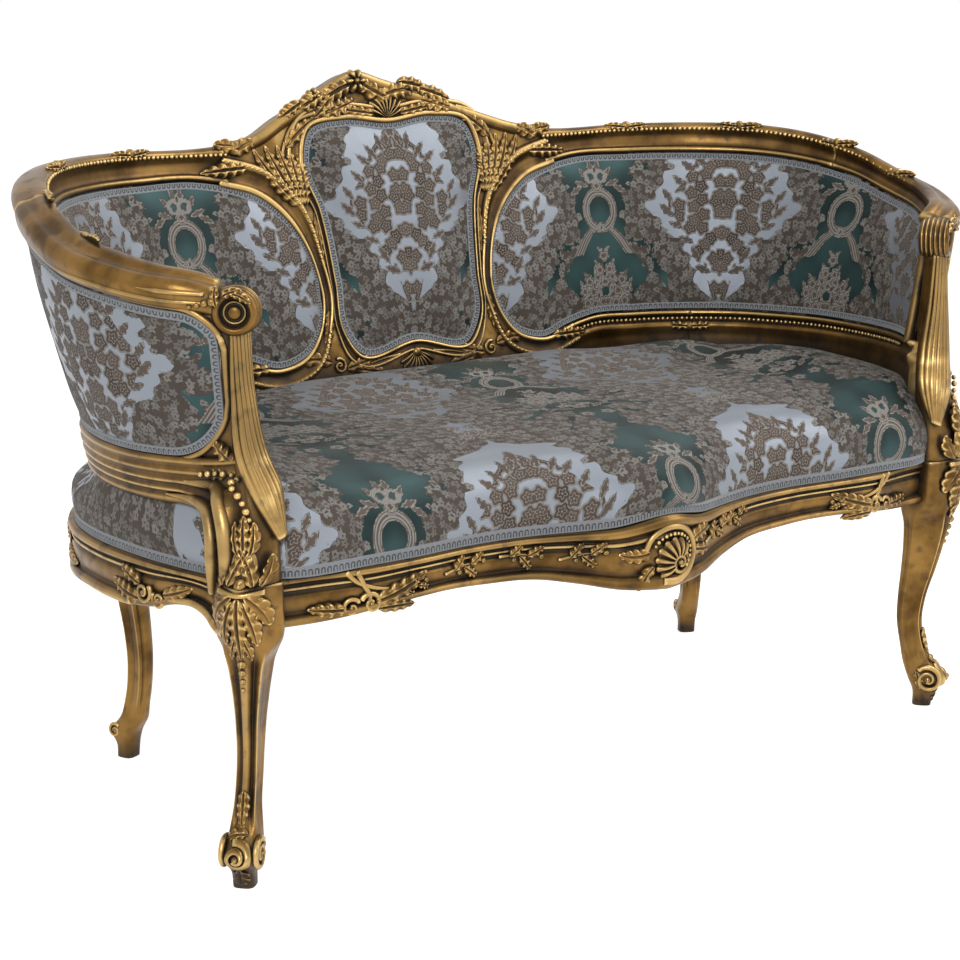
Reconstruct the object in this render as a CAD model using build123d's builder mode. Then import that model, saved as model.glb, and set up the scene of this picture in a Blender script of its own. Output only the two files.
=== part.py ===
from build123d import *
import os
from math import atan2, cos, radians, sin

# A carved basket settee with a sprung seat. Millimetres, +Z up, the front faces -Y,
# the origin lies on the floor under the middle of the settee's box.
# Right is +X, seen from the front; every left piece is the mirror image of its right one.

# The back and arms form one wall that leans outward. Its plan is drawn at two heights.
low_plan_z = 500.0
high_plan_z = 850.0
back_low_y = 246.0
back_high_y = 322.0
back_flat_half = 335.0
corner_turn = 52.0
side_turn = 38.0
low_corner_radius = 268.0
low_side_radius = 305.0
low_arm_radius = 395.0
low_arm_turn = 32.5
high_corner_radius = 352.0
high_side_radius = 430.0
high_arm_radius = 218.0
high_arm_turn = 61.0

# Layers of the wall: how far each face stands outward from the wall's own surface.
frame_inner = 2.0
frame_outer = 45.0
stile_outer = 29.0
pad_root = 12.0
pad_edge = 4.0
pad_crown = 17.0
cover_root = 31.0
cover_edge = 36.0
cover_crown = 8.0
crown_full_half = 110.0
panel_reach = 12.0
panel_gap = 1.5
rail_round = 11.0

# Stations along the wall: 0 middle of the back, 1 start of the corner, 2 half way round it,
# 3 widest point of the arm, 4 end of the arm.
centre_joint = 0.866
upright_station = 1.72
arm_joint = 2.35
arm_end = 3.97
pad_end = 3.88
# Each row: station, lower edge of the inside panel, its upper edge, top of the rail above it.
wall_line = [
    (centre_joint, 561, 822, 880), (1.0, 571, 831, 878), (1.36, 574, 834, 881),
    (upright_station, 575, 834, 882), (2.0, 576, 832, 880), (arm_joint, 576, 823, 869),
    (2.7, 577, 805, 847), (3.0, 577, 782, 822), (3.3, 578, 768, 807), (3.6, 580, 754, 793),
    (pad_end, 582, 743, 783), (arm_end, 584, 737, 776)]
# The rounded end of the inside panel beside the medallion: station, lower edge, upper edge.
panel_tip = [(0.472, 625, 668), (0.507, 591, 716), (0.582, 561, 762), (0.725, 546, 804)]
panel_tip_reach = 0.04
low_rail_inner_height = 43.0
low_rail_outer_drop = 22.0
low_rail_outer_height = 58.0
low_rail_round = 6.0

# The middle of the back, as (half width, height); the crest is drawn whole, because its peak leans left.
medallion = [
    (0, 903), (82, 911), (146, 897), (161, 853), (141, 776), (130, 666), (126, 590), (104, 556), (0, 567)]
crest_outline = [
    (235, 888), (181, 904), (129, 921), (61, 943), (0, 964), (-53, 978), (-95, 962), (-140, 938), (-188, 915),
    (-235, 890)]
base_outline = [(240, 503), (150, 513), (70, 506), (0, 500)]
crest_split = 821.0
base_split = 600.0
stile_top_x = 196.0
stile_foot_x = 148.0
medallion_layers = [(pad_root, 1.0), (pad_edge, 1.0), (-7.0, 0.9), (-14.0, 0.55)]

# Arm ends: the scroll, and the post as (rise over the seat rail, centre x, centre y, size x, size y).
scroll_centre = (586.0, -273.0, 740.0)
scroll_radius = 34.0
scroll_width = 46.0
scroll_heading = 36.0
post_line = [
    (0, 580, -298, 58, 50), (35, 577, -299, 52, 46), (95, 571, -293, 41, 38), (155, 568, -281, 34, 34),
    (215, 570, -273, 30, 32), (275, 577, -272, 32, 35), (325, 583, -275, 36, 40)]
post_round = 9.0

# Seat frame: plan of the rail faces, and the lower edges of the carved aprons, for the right half.
seat_rail_top = 405.0
front_face = [
    (0, -385), (60, -371), (125, -344), (205, -323), (285, -318), (360, -324), (435, -325), (505, -308)]
front_face_end = -302.0
front_edge = [(0, 315), (70, 321), (123, 333), (176, 344), (255, 349), (330, 352), (419, 348), (505, 338)]
front_rise = 15.0
front_rise_half = 62.0
side_face = [(617, -263), (644, -170), (661, -80), (667, 0), (660, 75), (634, 150), (599, 205), (550, 250)]
side_edge = [(-263, 330), (-200, 342), (-100, 346), (0, 343), (100, 334), (180, 324), (250, 318)]
rail_thick = 46.0
apron = 24.0
front_rail_under = 354.0
side_rail_under = 356.0
back_rail_face = 262.0

# Legs: each row is height, shift along the toe, size along the toe, size across it.
front_foot = (600.0, -278.0)
back_foot = (532.0, 228.0)
front_toe_angle = -45.0
back_toe_angle = 65.0
leg_round_share = 0.36
leg_block_under = 326.0
front_block = (587.0, -288.0)
front_block_size = 70.0
back_block = (515.0, 212.0)
back_block_size = 90.0
front_leg_line = [
    (0, 0, 29, 29), (18, 1, 31, 30), (46, 4, 56, 48), (72, -10, 45, 40), (96, -18, 38, 32),
    (140, -25, 37, 29), (180, -22, 41, 29), (225, -14, 50, 32), (265, -8, 58, 39), (300, -5, 65, 49),
    (334, -6, 68, 62)]
back_leg_line = [
    (0, 0, 28, 28), (18, -1, 30, 29), (40, 1, 44, 36), (64, -15, 40, 32), (90, -24, 34, 30),
    (145, -30, 32, 30), (200, -24, 34, 32), (240, -16, 37, 35), (285, -8, 42, 40), (334, -4, 50, 48)]

# Seat upholstery: each layer of the pad is rise over the rail and inset from the rail's face.
pad_layers = [(0, 9), (42, 3), (86, 34), (113, 165)]
pad_corner = [(545, -318), (610, -262)]
pad_back_corner = [(545, 249), (470, 262), (300, 262), (150, 262), (0, 262)]
notch_gap = 0.5
hollow_inset = 70.0
hessian_thick = 2.0
spring_columns = 5
spring_rows = 3
spring_spacing_x = 190.0
spring_spacing_y = 140.0
spring_middle_y = -55.0
spring_radius = 34.0
spring_turns = 5
spring_wire_radius = 2.0
spring_height = 96.0
web_width = 60.0
web_thick = 2.0
web_inset = 27.0

# Joinery.
dowel_radius = 6.0
dowel_length = 44.0
dowel_fit = 0.1
dowel_step = 22.0
upright_width = 36.0
upright_thick = 18.0
upright_tenon = 24.0
upright_fit = 0.2
corner_reach = 72.0
corner_depth = 35.0
corner_height = 36.0
screw_radius = 2.5
screw_head_radius = 5.0
screw_head_height = 3.0
screw_length = 58.0
screw_step = 18.0
screw_fit = 0.1


def write(piece, name):
    """Labels a finished piece and writes it."""
    piece.part.label = name
    export_step(piece.part, f"parts/{name}.step")


def twin_of(piece):
    """The mirror image of a right-hand piece."""
    with BuildPart() as twin:
        mirror(piece.part, about=Plane.YZ)
    return twin


def write_pair(piece, name):
    """Writes a right-hand piece and its mirror image."""
    write(piece, name + "_right")
    write(twin_of(piece), name + "_left")


def main_solid(piece):
    """A piece without the offcuts that its cuts leave behind."""
    with BuildPart() as kept:
        add(piece.part.solids().sort_by(SortBy.VOLUME)[-1])
    return kept


def cut_to(piece, neighbours):
    """A piece cut back to the neighbours that hold it."""
    with BuildPart() as cut:
        add(piece.part)
        for neighbour in neighbours:
            add(neighbour.part, mode=Mode.SUBTRACT)
    return main_solid(cut)


def both_halves(right):
    """Outline points from the far left to the far right, from a right half that ends on the middle line."""
    return [(-x, y) for x, y in right] + list(reversed(right))[1:]


# The wall

def wall_plan(back_y, corner_radius, side_radius, arm_radius, arm_turn):
    """Half plan of the wall: the flat back, the corner in two arcs, and the arm drawing in."""
    with BuildLine():
        flat = Line((0, back_y), (back_flat_half, back_y))
        corner = JernArc(flat @ 1, flat % 1, corner_radius, -corner_turn)
        side = JernArc(corner @ 1, corner % 1, side_radius, -side_turn)
        arm = JernArc(side @ 1, side % 1, arm_radius, -arm_turn)
    return [flat, corner, side, arm]


low_plan = wall_plan(back_low_y, low_corner_radius, low_side_radius, low_arm_radius, low_arm_turn)
high_plan = wall_plan(back_high_y, high_corner_radius, high_side_radius, high_arm_radius, high_arm_turn)


def wall_point(station, z):
    """A point on the leaning wall, at a station along it and a height."""
    span = min(int(abs(station)), len(low_plan) - 1)
    share = abs(station) - span
    low = low_plan[span] @ share
    high = high_plan[span] @ share
    point = low + (high - low) * ((z - low_plan_z) / (high_plan_z - low_plan_z))
    return Vector(-point.X if station < 0 else point.X, point.Y, z)


def wall_frame(station, z):
    """A plane across the wall: its x axis points outward, its y axis up the wall."""
    step = 0.01
    here = wall_point(station, z)
    along = wall_point(station + step, z) - wall_point(station - step, z)
    up = wall_point(station, z + 1) - here
    return Plane(origin=here, x_dir=up.cross(along), z_dir=along)


def wall_length(station, under, over):
    """Slant height of the wall between two levels."""
    return (wall_point(station, over) - wall_point(station, under)).length


def rows(first, last):
    """The stations of the wall between two joints."""
    return [row for row in wall_line if first <= row[0] <= last]


def wall_rail(line):
    """A rounded rail along the wall, from rows of station, underside and top."""
    with BuildPart() as rail:
        for station, under, over in line:
            with BuildSketch(wall_frame(station, (under + over) / 2)):
                with Locations(((frame_inner + frame_outer) / 2, 0)):
                    RectangleRounded(frame_outer - frame_inner, wall_length(station, under, over), rail_round)
        loft()
    return rail


def low_rail(line):
    """The lower rail along the wall, under the inside panel; its outer half hangs lower."""
    with BuildPart() as rail:
        for station, over, *_ in line:
            with BuildSketch(wall_frame(station, over)) as section:
                with BuildLine():
                    Polyline(
                        (frame_inner, 0), (stile_outer, 0), (stile_outer, -low_rail_outer_drop),
                        (frame_outer, -low_rail_outer_drop),
                        (frame_outer, -low_rail_outer_drop - low_rail_outer_height),
                        (frame_inner, -low_rail_inner_height), close=True)
                make_face()
                fillet(section.vertices(), low_rail_round / 2)
        loft()
    return rail


def wall_pad(line, root, edge, crown):
    """A stuffed panel along the wall, crowned between its edges. A short end is crowned less."""
    with BuildPart() as pad:
        for station, under, over in line:
            half = wall_length(station, under, over) / 2
            swell = crown * min(1, half / crown_full_half)
            with BuildSketch(wall_frame(station, (under + over) / 2)):
                with BuildLine():
                    Polyline((edge, -half), (root, -half), (root, half), (edge, half))
                    ThreePointArc((edge, half), (edge + (swell if edge > root else -swell), 0), (edge, -half))
                make_face()
        loft()
    return pad


def reaching(line):
    """The rows of a panel, widened to reach into the frame round it."""
    return [(station, under - panel_reach, over + panel_reach) for station, under, over in line]


# The leaning plane of the flat back, seen from the front: x to the right, y up the slope.
lean = atan2(back_high_y - back_low_y, high_plan_z - low_plan_z)
back_plane = Plane(origin=(0, back_low_y, low_plan_z), x_dir=(1, 0, 0), z_dir=(0, -cos(lean), sin(lean)))


def on_back(points):
    """Outline points given as (x, height), laid on the leaning plane."""
    return [(x, (z - low_plan_z) / cos(lean)) for x, z in points]


def back_middle(outer_face):
    """The carved middle of the back with its three openings, before it is cut into its pieces."""
    joint_x = centre_joint * back_flat_half
    joint_row = wall_line[0]
    top = [(joint_x, joint_row[3])] + crest_outline + [(-joint_x, joint_row[3])]
    foot = [(joint_x, joint_row[1] - low_rail_inner_height)] + base_outline
    over = [(row[0] * back_flat_half, row[2]) for row in panel_tip + [joint_row]]
    under = [(row[0] * back_flat_half, row[1]) for row in panel_tip + [joint_row]]
    opening = list(reversed(over)) + under
    with BuildPart() as middle:
        with BuildSketch(back_plane.offset(-frame_inner)):
            with BuildLine():
                crest = Spline(*on_back(reversed(top)))
                base = Spline(*on_back(both_halves(foot)))
                Line(crest @ 0, base @ 0)
                Line(crest @ 1, base @ 1)
            make_face()
            with BuildLine():
                Spline(*on_back(medallion + [(-x, z) for x, z in reversed(medallion[1:-1])]), periodic=True)
            make_face(mode=Mode.SUBTRACT)
            for side in (1, -1):
                with BuildLine():
                    lip = Spline(*on_back([(side * x, z) for x, z in opening]))
                    Line(lip @ 1, lip @ 0)
                make_face(mode=Mode.SUBTRACT)
        extrude(amount=-(outer_face - frame_inner))
    return middle


def slab(under, over, side=0):
    """A block across the flat back between two levels, whole or only on one side of its middle."""
    reach = 2 * back_flat_half
    with BuildPart() as block:
        with BuildSketch(back_plane):
            low, high = on_back([(0, under), (0, over)])
            with Locations(((side * reach / 2), (low[1] + high[1]) / 2)):
                Rectangle(reach, high[1] - low[1])
        extrude(amount=reach, both=True)
    return block


os.makedirs("parts", exist_ok=True)
above_crest = max(z for x, z in crest_outline) + frame_outer
below_base = base_outline[-1][1] - frame_outer


def drill(piece, planes):
    """Bores dowel holes, centred on a joint, into a piece."""
    with BuildPart() as drilled:
        add(piece.part)
        for plane in planes:
            with Locations(plane):
                Cylinder(dowel_radius + dowel_fit, dowel_length + 2 * dowel_fit, mode=Mode.SUBTRACT)
    return drilled


def both_sides(planes):
    """Joints on the right, and the same joints on the left."""
    left = [
        Plane(origin=(-p.origin.X, p.origin.Y, p.origin.Z), x_dir=(-p.x_dir.X, p.x_dir.Y, p.x_dir.Z),
              z_dir=(-p.z_dir.X, p.z_dir.Y, p.z_dir.Z))
        for p in planes]
    return planes + left


def wall_joint(station, under, over):
    """Two dowels across a butt joint of the rails that follow the wall."""
    frame = wall_frame(station, (under + over) / 2)
    middle = (frame_inner + frame_outer) / 2
    return [
        Plane(origin=frame.from_local_coords((middle + shift, 0)), x_dir=frame.x_dir, z_dir=frame.z_dir)
        for shift in (-dowel_step / 2, dowel_step / 2)]


crest_joint = wall_joint(centre_joint, wall_line[0][2], wall_line[0][3])
arm_row = rows(arm_joint, arm_joint)[0]
arm_joint_planes = wall_joint(arm_joint, arm_row[2], arm_row[3])
base_frame = wall_frame(centre_joint, wall_line[0][1] - low_rail_inner_height / 2)
stile_middle = (frame_inner + stile_outer) / 2
base_place = base_frame.from_local_coords((stile_middle, 0))
base_joint = [Plane(origin=base_place, x_dir=base_frame.x_dir, z_dir=base_frame.z_dir)]


def stile_joint(x, z):
    """A dowel up the slope, where a stile meets the rail above or below it."""
    place = back_plane.offset(-stile_middle).from_local_coords(on_back([(x, z)])[0])
    return [Plane(origin=place, x_dir=back_plane.x_dir, z_dir=back_plane.y_dir)]


stile_top = stile_joint(stile_top_x, crest_split)
stile_foot = stile_joint(stile_foot_x, base_split)

# Middle of the back

middle = back_middle(frame_outer)
thin_middle = back_middle(stile_outer)
crest_slab = slab(crest_split, above_crest)
base_slab = slab(below_base, base_split)
stile_slab = slab(base_split, crest_split, side=1)

with BuildPart() as crest_centre:
    add(middle.part)
    add(crest_slab.part, mode=Mode.INTERSECT)
crest_centre = drill(crest_centre, both_sides(crest_joint + stile_top))
write(crest_centre, "crest_rail_centre")

with BuildPart() as base_rail:
    add(middle.part)
    add(base_slab.part, mode=Mode.INTERSECT)
base_rail = drill(base_rail, both_sides(base_joint + stile_foot))
write(base_rail, "lower_back_rail_centre")

with BuildPart() as stile:
    add(thin_middle.part)
    add(stile_slab.part, mode=Mode.INTERSECT)
stile = drill(stile, stile_top + stile_foot)
write_pair(stile, "back_stile")

medallion_loop = medallion + [(-x, z) for x, z in reversed(medallion[1:-1])]
medallion_middle = (medallion[0][1] + medallion[-1][1]) / 2
with BuildPart() as medallion_pad:
    for depth, share in medallion_layers:
        loop = [(x * share, medallion_middle + (z - medallion_middle) * share) for x, z in medallion_loop]
        with BuildSketch(back_plane.offset(-depth)):
            with BuildLine():
                Spline(*on_back(loop), periodic=True)
            make_face()
    loft()
write(medallion_pad, "inside_back_panel_centre")

# Arm posts and the scrolls on them

with BuildPart() as post:
    for rise, x, y, size_x, size_y in post_line:
        with BuildSketch(Plane.XY.offset(seat_rail_top + rise)):
            with Locations((x, y)):
                RectangleRounded(size_x, size_y, post_round)
    loft()
scroll_plane = Plane(origin=scroll_centre, z_dir=Vector(1, 0, 0).rotate(Axis.Z, -scroll_heading))
with BuildPart() as scroll:
    with BuildSketch(scroll_plane):
        Circle(scroll_radius)
    extrude(amount=scroll_width / 2, both=True)
post_foot_joint = [Plane(origin=(post_line[0][1], post_line[0][2], seat_rail_top))]
post_top_joint = [Plane(origin=(scroll_centre[0], scroll_centre[1], scroll_centre[2] - scroll_radius))]
with BuildPart() as arm_post:
    add(post.part)
    add(scroll.part, mode=Mode.SUBTRACT)
arm_post = drill(arm_post, post_foot_joint + post_top_joint)
write_pair(arm_post, "arm_post")

# Uprights that carry the back from the seat frame

upright_foot = wall_point(upright_station, seat_rail_top)
upright_head = wall_point(upright_station, rows(upright_station, upright_station)[0][2] + upright_tenon)
upright_axis = upright_head - upright_foot
upright_across = wall_frame(upright_station, seat_rail_top)


def upright_bar(fit, past_foot, past_head):
    """The bar of an upright, with room round it where it makes a mortise."""
    middle = upright_across.from_local_coords(((pad_root + cover_root) / 2, 0))
    start = middle - upright_axis.normalized() * past_foot
    with BuildPart() as bar:
        with BuildSketch(Plane(origin=start, x_dir=upright_across.z_dir, z_dir=upright_axis)):
            Rectangle(upright_width + 2 * fit, upright_thick + 2 * fit)
        extrude(amount=upright_axis.length + past_foot + past_head)
    return bar


upright_stock = upright_bar(0, upright_thick, 0)
upright_mortise = upright_bar(upright_fit, upright_thick, upright_fit)
with BuildPart() as upright:
    add(upright_stock.part)
    split(bisect_by=Plane.XY.offset(seat_rail_top), keep=Keep.TOP)

# Rails along the wall

crest_run = wall_rail([(row[0], row[2], row[3]) for row in rows(centre_joint, arm_joint)])
arm_run = wall_rail([(row[0], row[2], row[3]) for row in rows(arm_joint, arm_end)])
low_corner_run = low_rail([(row[0], row[1]) for row in rows(centre_joint, upright_station)])
low_arm_run = low_rail([(row[0], row[1]) for row in rows(upright_station, arm_end)])

with BuildPart() as crest_side:
    add(crest_run.part)
    add(upright_mortise.part, mode=Mode.SUBTRACT)
crest_side = drill(crest_side, crest_joint + arm_joint_planes)
write_pair(crest_side, "crest_rail")

with BuildPart() as arm_rail:
    add(arm_run.part)
    add(post.part, mode=Mode.SUBTRACT)
    add(scroll.part)
arm_rail = drill(arm_rail, arm_joint_planes + post_top_joint)
write_pair(arm_rail, "arm_rail")

with BuildPart() as low_corner:
    add(low_corner_run.part)
    add(upright_mortise.part, mode=Mode.SUBTRACT)
low_corner = drill(low_corner, base_joint)
write_pair(low_corner, "lower_back_rail")

with BuildPart() as low_arm:
    add(low_arm_run.part)
    add(upright_mortise.part, mode=Mode.SUBTRACT)
    add(post.part, mode=Mode.SUBTRACT)
low_arm = main_solid(low_arm)
write_pair(low_arm, "lower_arm_rail")

# Stuffed panels along the wall: each reaches into its frame and is cut back to it.

wall_rails = [middle, crest_run, arm_run, low_corner_run, low_arm_run, post, scroll]
tip = panel_tip[0]
past_tip = (tip[0] - panel_tip_reach, *tip[1:])
inside_line = [past_tip] + panel_tip + [row[:3] for row in rows(centre_joint, pad_end)]
inside_pad = wall_pad(reaching(inside_line), pad_root, pad_edge, pad_crown)
inside_panel = cut_to(inside_pad, wall_rails)
write_pair(inside_panel, "inside_panel")

upright_room = upright_bar(panel_gap, upright_thick, panel_gap)
outside_line = [(row[0], row[1] - low_rail_outer_drop, row[2]) for row in rows(upright_station, pad_end)]
outside_pad = wall_pad(reaching(outside_line), cover_root, cover_edge, cover_crown)
outside_panel = cut_to(outside_pad, wall_rails + [upright_room])
write_pair(outside_panel, "outside_arm_panel")

back_rows = [(row[0], row[1] - low_rail_outer_drop, row[2]) for row in rows(centre_joint, upright_station)]
back_rows[-1] = (upright_station - panel_gap / low_corner_radius, *back_rows[-1][1:])
cover_rise = [(x / back_flat_half, base_split, z) for x, z in medallion[:2]]
back_half = cover_rise + back_rows
back_line = [(-row[0], row[1], row[2]) for row in reversed(back_half[1:])] + back_half
back_pad = wall_pad(reaching(back_line), cover_root, cover_edge, cover_crown)
back_rails = [crest_centre, base_rail]
for run in (crest_run, low_corner_run, upright_room):
    back_rails += [run, twin_of(run)]
back_panel = cut_to(back_pad, back_rails)
write(back_panel, "outside_back_panel")

# Legs


def leg(foot, toe_angle, line, block, block_size):
    """A cabriole leg: sections along its curve, and the square block that the rails join."""
    toe = Vector(cos(radians(toe_angle)), sin(radians(toe_angle)))
    ground = Vector(foot[0], foot[1])
    with BuildPart() as piece:
        for z, shift, along, across in line:
            place = ground + toe * shift + Vector(0, 0, z)
            with BuildSketch(Plane(origin=place, x_dir=toe, z_dir=(0, 0, 1))):
                RectangleRounded(along, across, min(along, across) * leg_round_share)
        loft()
        with BuildSketch(Plane.XY.offset(leg_block_under)):
            with Locations(block):
                Rectangle(block_size, block_size)
        extrude(amount=seat_rail_top - leg_block_under)
    return piece


front_leg_stock = leg(front_foot, front_toe_angle, front_leg_line, front_block, front_block_size)
back_leg_stock = leg(back_foot, back_toe_angle, back_leg_line, back_block, back_block_size)
front_block_in = front_block[0] - front_block_size / 2
front_block_back = front_block[1] + front_block_size / 2
back_block_in = back_block[0] - back_block_size / 2
back_block_out = back_block[0] + back_block_size / 2

# Seat rails


def band(first, second):
    """The outline of a band between two curves."""
    with BuildLine() as outline:
        one = Spline(*first)
        two = Spline(*second)
        Line(one @ 0, two @ 0)
        Line(one @ 1, two @ 1)
    return outline.edges()


def at_depth(face_points, depth):
    """The face of a rail, moved into the wood."""
    with BuildLine():
        face = Spline(*face_points)
    steps = len(face_points) - 1
    marks = [step / steps for step in range(steps + 1)]
    return [face @ mark + (face % mark).rotate(Axis.Z, 90) * depth for mark in marks]


def profiled_rail(face_points, edge_plane, edge_points, top_points, under):
    """A seat rail: a carved apron along a curved face, backed by a level structural part."""
    behind = at_depth(face_points, apron)
    apron_plan = band(face_points, behind)
    backing_plan = band(behind, at_depth(face_points, rail_thick))
    elevation = band(edge_points, top_points)
    with BuildPart() as rail:
        with BuildSketch():
            make_face(apron_plan)
        extrude(amount=seat_rail_top + front_rise)
        with BuildSketch(edge_plane):
            make_face(elevation)
        extrude(amount=2 * rail_reach, both=True, mode=Mode.INTERSECT)
        with BuildSketch(Plane.XY.offset(under)):
            make_face(backing_plan)
        extrude(amount=seat_rail_top - under)
    return rail


rail_reach = side_face[0][0] + rail_thick


front_half = [*front_face, (front_block_in, front_face_end)]
front_points = both_halves(list(reversed(front_half)))
front_edge_half = [*front_edge, (front_block_in, front_edge[-1][1])]
front_edge_points = both_halves(list(reversed(front_edge_half)))
flat_top = [(x, seat_rail_top) for x in (front_block_in, front_rise_half * 1.5, front_rise_half)]
rise_top = both_halves([*flat_top, (0, seat_rail_top + front_rise)])
front_stock = profiled_rail(front_points, Plane.XZ, front_edge_points, rise_top, front_rail_under)
side_top = [(y, seat_rail_top) for y, _ in side_edge]
side_stock = profiled_rail(side_face, Plane.YZ, side_edge, side_top, side_rail_under)

rail_dowel_z = (seat_rail_top + side_rail_under) / 2
dowel_levels = (rail_dowel_z - dowel_step / 2, rail_dowel_z + dowel_step / 2)


def seat_joint(x, y, axis):
    """Two dowels, one over the other, across a joint of the seat frame."""
    return [Plane(origin=(x, y, z), z_dir=axis) for z in dowel_levels]


front_joint = seat_joint(front_block_in, front_face_end + rail_thick / 2, (1, 0, 0))
side_front_joint = seat_joint(side_face[0][0] - rail_thick / 2, front_block_back, (0, 1, 0))
side_back_joint = seat_joint(back_block_out, back_block[1], (1, 0, 0))
back_joint = seat_joint(back_block_in, back_rail_face - rail_thick / 2, (1, 0, 0))

front_rail = drill(front_stock, both_sides(front_joint))
write(front_rail, "front_seat_rail")

with BuildPart() as side_rail:
    add(side_stock.part)
    add(front_leg_stock.part, mode=Mode.SUBTRACT)
    add(back_leg_stock.part, mode=Mode.SUBTRACT)
side_rail = drill(main_solid(side_rail), side_front_joint + side_back_joint)
write_pair(side_rail, "side_seat_rail")

with BuildPart() as back_rail:
    with BuildSketch(Plane.XY.offset(front_rail_under)):
        with Locations((0, back_rail_face - rail_thick / 2)):
            Rectangle(2 * back_block_in, rail_thick)
    extrude(amount=seat_rail_top - front_rail_under)
    fillet(back_rail.edges().filter_by(Axis.X).group_by(Axis.Y)[-1].sort_by(Axis.Z)[0], rail_round)
back_rail = drill(back_rail, both_sides(back_joint))
write(back_rail, "back_seat_rail")

# Corner blocks and their screws


def corner_stock(corner, turn):
    """A triangle of wood behind a leg; its two short sides run along the rails."""
    heading = Vector(1, 0, 0).rotate(Axis.Z, turn)
    with BuildPart() as block:
        place = (*corner, seat_rail_top - corner_height)
        with BuildSketch(Plane(origin=place, x_dir=heading, z_dir=(0, 0, 1))):
            with BuildLine():
                side = corner_reach + corner_depth
                Polyline((-corner_reach, 0), (corner_depth, side), (corner_depth, -side), close=True)
            make_face()
        extrude(amount=corner_height)
    return block


front_corner = (front_block_in, front_block_back)
back_corner = (back_block_in, back_block[1] - back_block_size / 2)
front_inward = 135.0
back_inward = 225.0
screw_levels = [
    seat_rail_top - corner_height / 2 + shift for shift in (-screw_step / 2, screw_step / 2)]


def screw_planes(corner, turn):
    """Where the screws of a corner block start, pointing into the leg."""
    inward = Vector(1, 0, 0).rotate(Axis.Z, turn)
    start = Vector(*corner) + inward * corner_depth
    return [Plane(origin=(start.X, start.Y, z), z_dir=-inward) for z in screw_levels]


def screws(planes, fit):
    """Flush screws, or the room for them."""
    with BuildPart() as group:
        for plane in planes:
            with BuildSketch(plane):
                Circle(screw_radius + fit)
            extrude(amount=screw_length + fit)
            with BuildSketch(plane):
                Circle(screw_head_radius + fit)
            extrude(amount=screw_head_height + fit)
    return group


front_screws = screw_planes(front_corner, front_inward)
back_screws = screw_planes(back_corner, back_inward)
front_screw_room = screws(front_screws, screw_fit)
back_screw_room = screws(back_screws, screw_fit)

front_corner_block = cut_to(
    corner_stock(front_corner, front_inward), [front_leg_stock, front_stock, side_stock, front_screw_room])
write_pair(front_corner_block, "front_corner_block")
back_corner_block = cut_to(
    corner_stock(back_corner, back_inward), [back_leg_stock, back_rail, side_stock, back_screw_room])
write_pair(back_corner_block, "back_corner_block")
write(screws(both_sides(front_screws + back_screws), 0), "corner_block_screws")

upright_middle = upright_across.from_local_coords(((pad_root + cover_root) / 2, 0))
upright_joint = [Plane(origin=upright_middle, z_dir=upright_axis)]
front_leg_joints = front_joint + side_front_joint + post_foot_joint
front_leg = drill(cut_to(front_leg_stock, [front_screw_room]), front_leg_joints)
write_pair(front_leg, "front_leg")
back_leg = drill(cut_to(back_leg_stock, [back_screw_room]), side_back_joint + back_joint + upright_joint)
write_pair(back_leg, "back_leg")
write_pair(drill(upright, upright_joint), "back_upright")


def dowels(planes):
    """Round dowels centred on their joints."""
    with BuildPart() as group:
        for plane in planes:
            with Locations(plane):
                Cylinder(dowel_radius, dowel_length)
    return group


write(dowels(both_sides(front_joint + side_front_joint + side_back_joint + back_joint)), "seat_frame_dowels")
wall_joints = crest_joint + arm_joint_planes + base_joint + stile_top + stile_foot
standing_joints = post_foot_joint + post_top_joint + upright_joint
write(dowels(both_sides(wall_joints + standing_joints)), "back_frame_dowels")

# Seat upholstery

seat_half = front_face[:-1] + pad_corner + side_face[1:-1] + pad_back_corner
seat_ring = seat_half + [(-x, y) for x, y in reversed(seat_half[1:-1])]
seat_middle_y = (front_face[0][1] + back_rail_face) / 2
seat_half_width = max(x for x, y in side_face)
seat_half_depth = back_rail_face - seat_middle_y


def seat_loop(inset):
    """The outline of the seat, drawn in from the faces of its rails."""
    narrow = 1 - inset / seat_half_width
    shallow = 1 - inset / seat_half_depth
    return [(x * narrow, seat_middle_y + (y - seat_middle_y) * shallow) for x, y in seat_ring]


def seat_slab(inset, under, over):
    """A level slab with the outline of the seat."""
    with BuildPart() as layer:
        with BuildSketch(Plane.XY.offset(under)):
            with BuildLine():
                Spline(*seat_loop(inset), periodic=True)
            make_face()
        extrude(amount=over - under)
    return layer


web_top = side_rail_under
hessian_under = web_top + spring_height
hollow_top = hessian_under + hessian_thick
with BuildPart() as pad_stock:
    for rise, inset in pad_layers:
        with BuildSketch(Plane.XY.offset(seat_rail_top + rise)):
            with BuildLine():
                Spline(*seat_loop(inset), periodic=True)
            make_face()
    loft()

post_beside_pad = [row for row in post_line if row[0] < pad_layers[-1][0]]
notch_in = min(x - size_x / 2 for _, x, _, size_x, _ in post_beside_pad) - notch_gap
notch_back = max(y + size_y / 2 for _, _, y, _, size_y in post_beside_pad) + notch_gap
with BuildPart() as post_notch:
    with BuildSketch(Plane.XY.offset(seat_rail_top)):
        with Locations((notch_in, notch_back)):
            Rectangle(2 * front_block_size, 2 * front_block_size, align=(Align.MIN, Align.MAX))
    extrude(amount=post_line[-1][0])
pad_upright_room = upright_bar(notch_gap, upright_thick, 0)
hollow = seat_slab(hollow_inset, seat_rail_top, hollow_top)
pad_cuts = [hollow, front_stock, post_notch, twin_of(post_notch), pad_upright_room, twin_of(pad_upright_room)]
write(cut_to(pad_stock, pad_cuts), "seat_pad")
write(seat_slab(hollow_inset + notch_gap, hessian_under, hollow_top), "seat_hessian")

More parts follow.
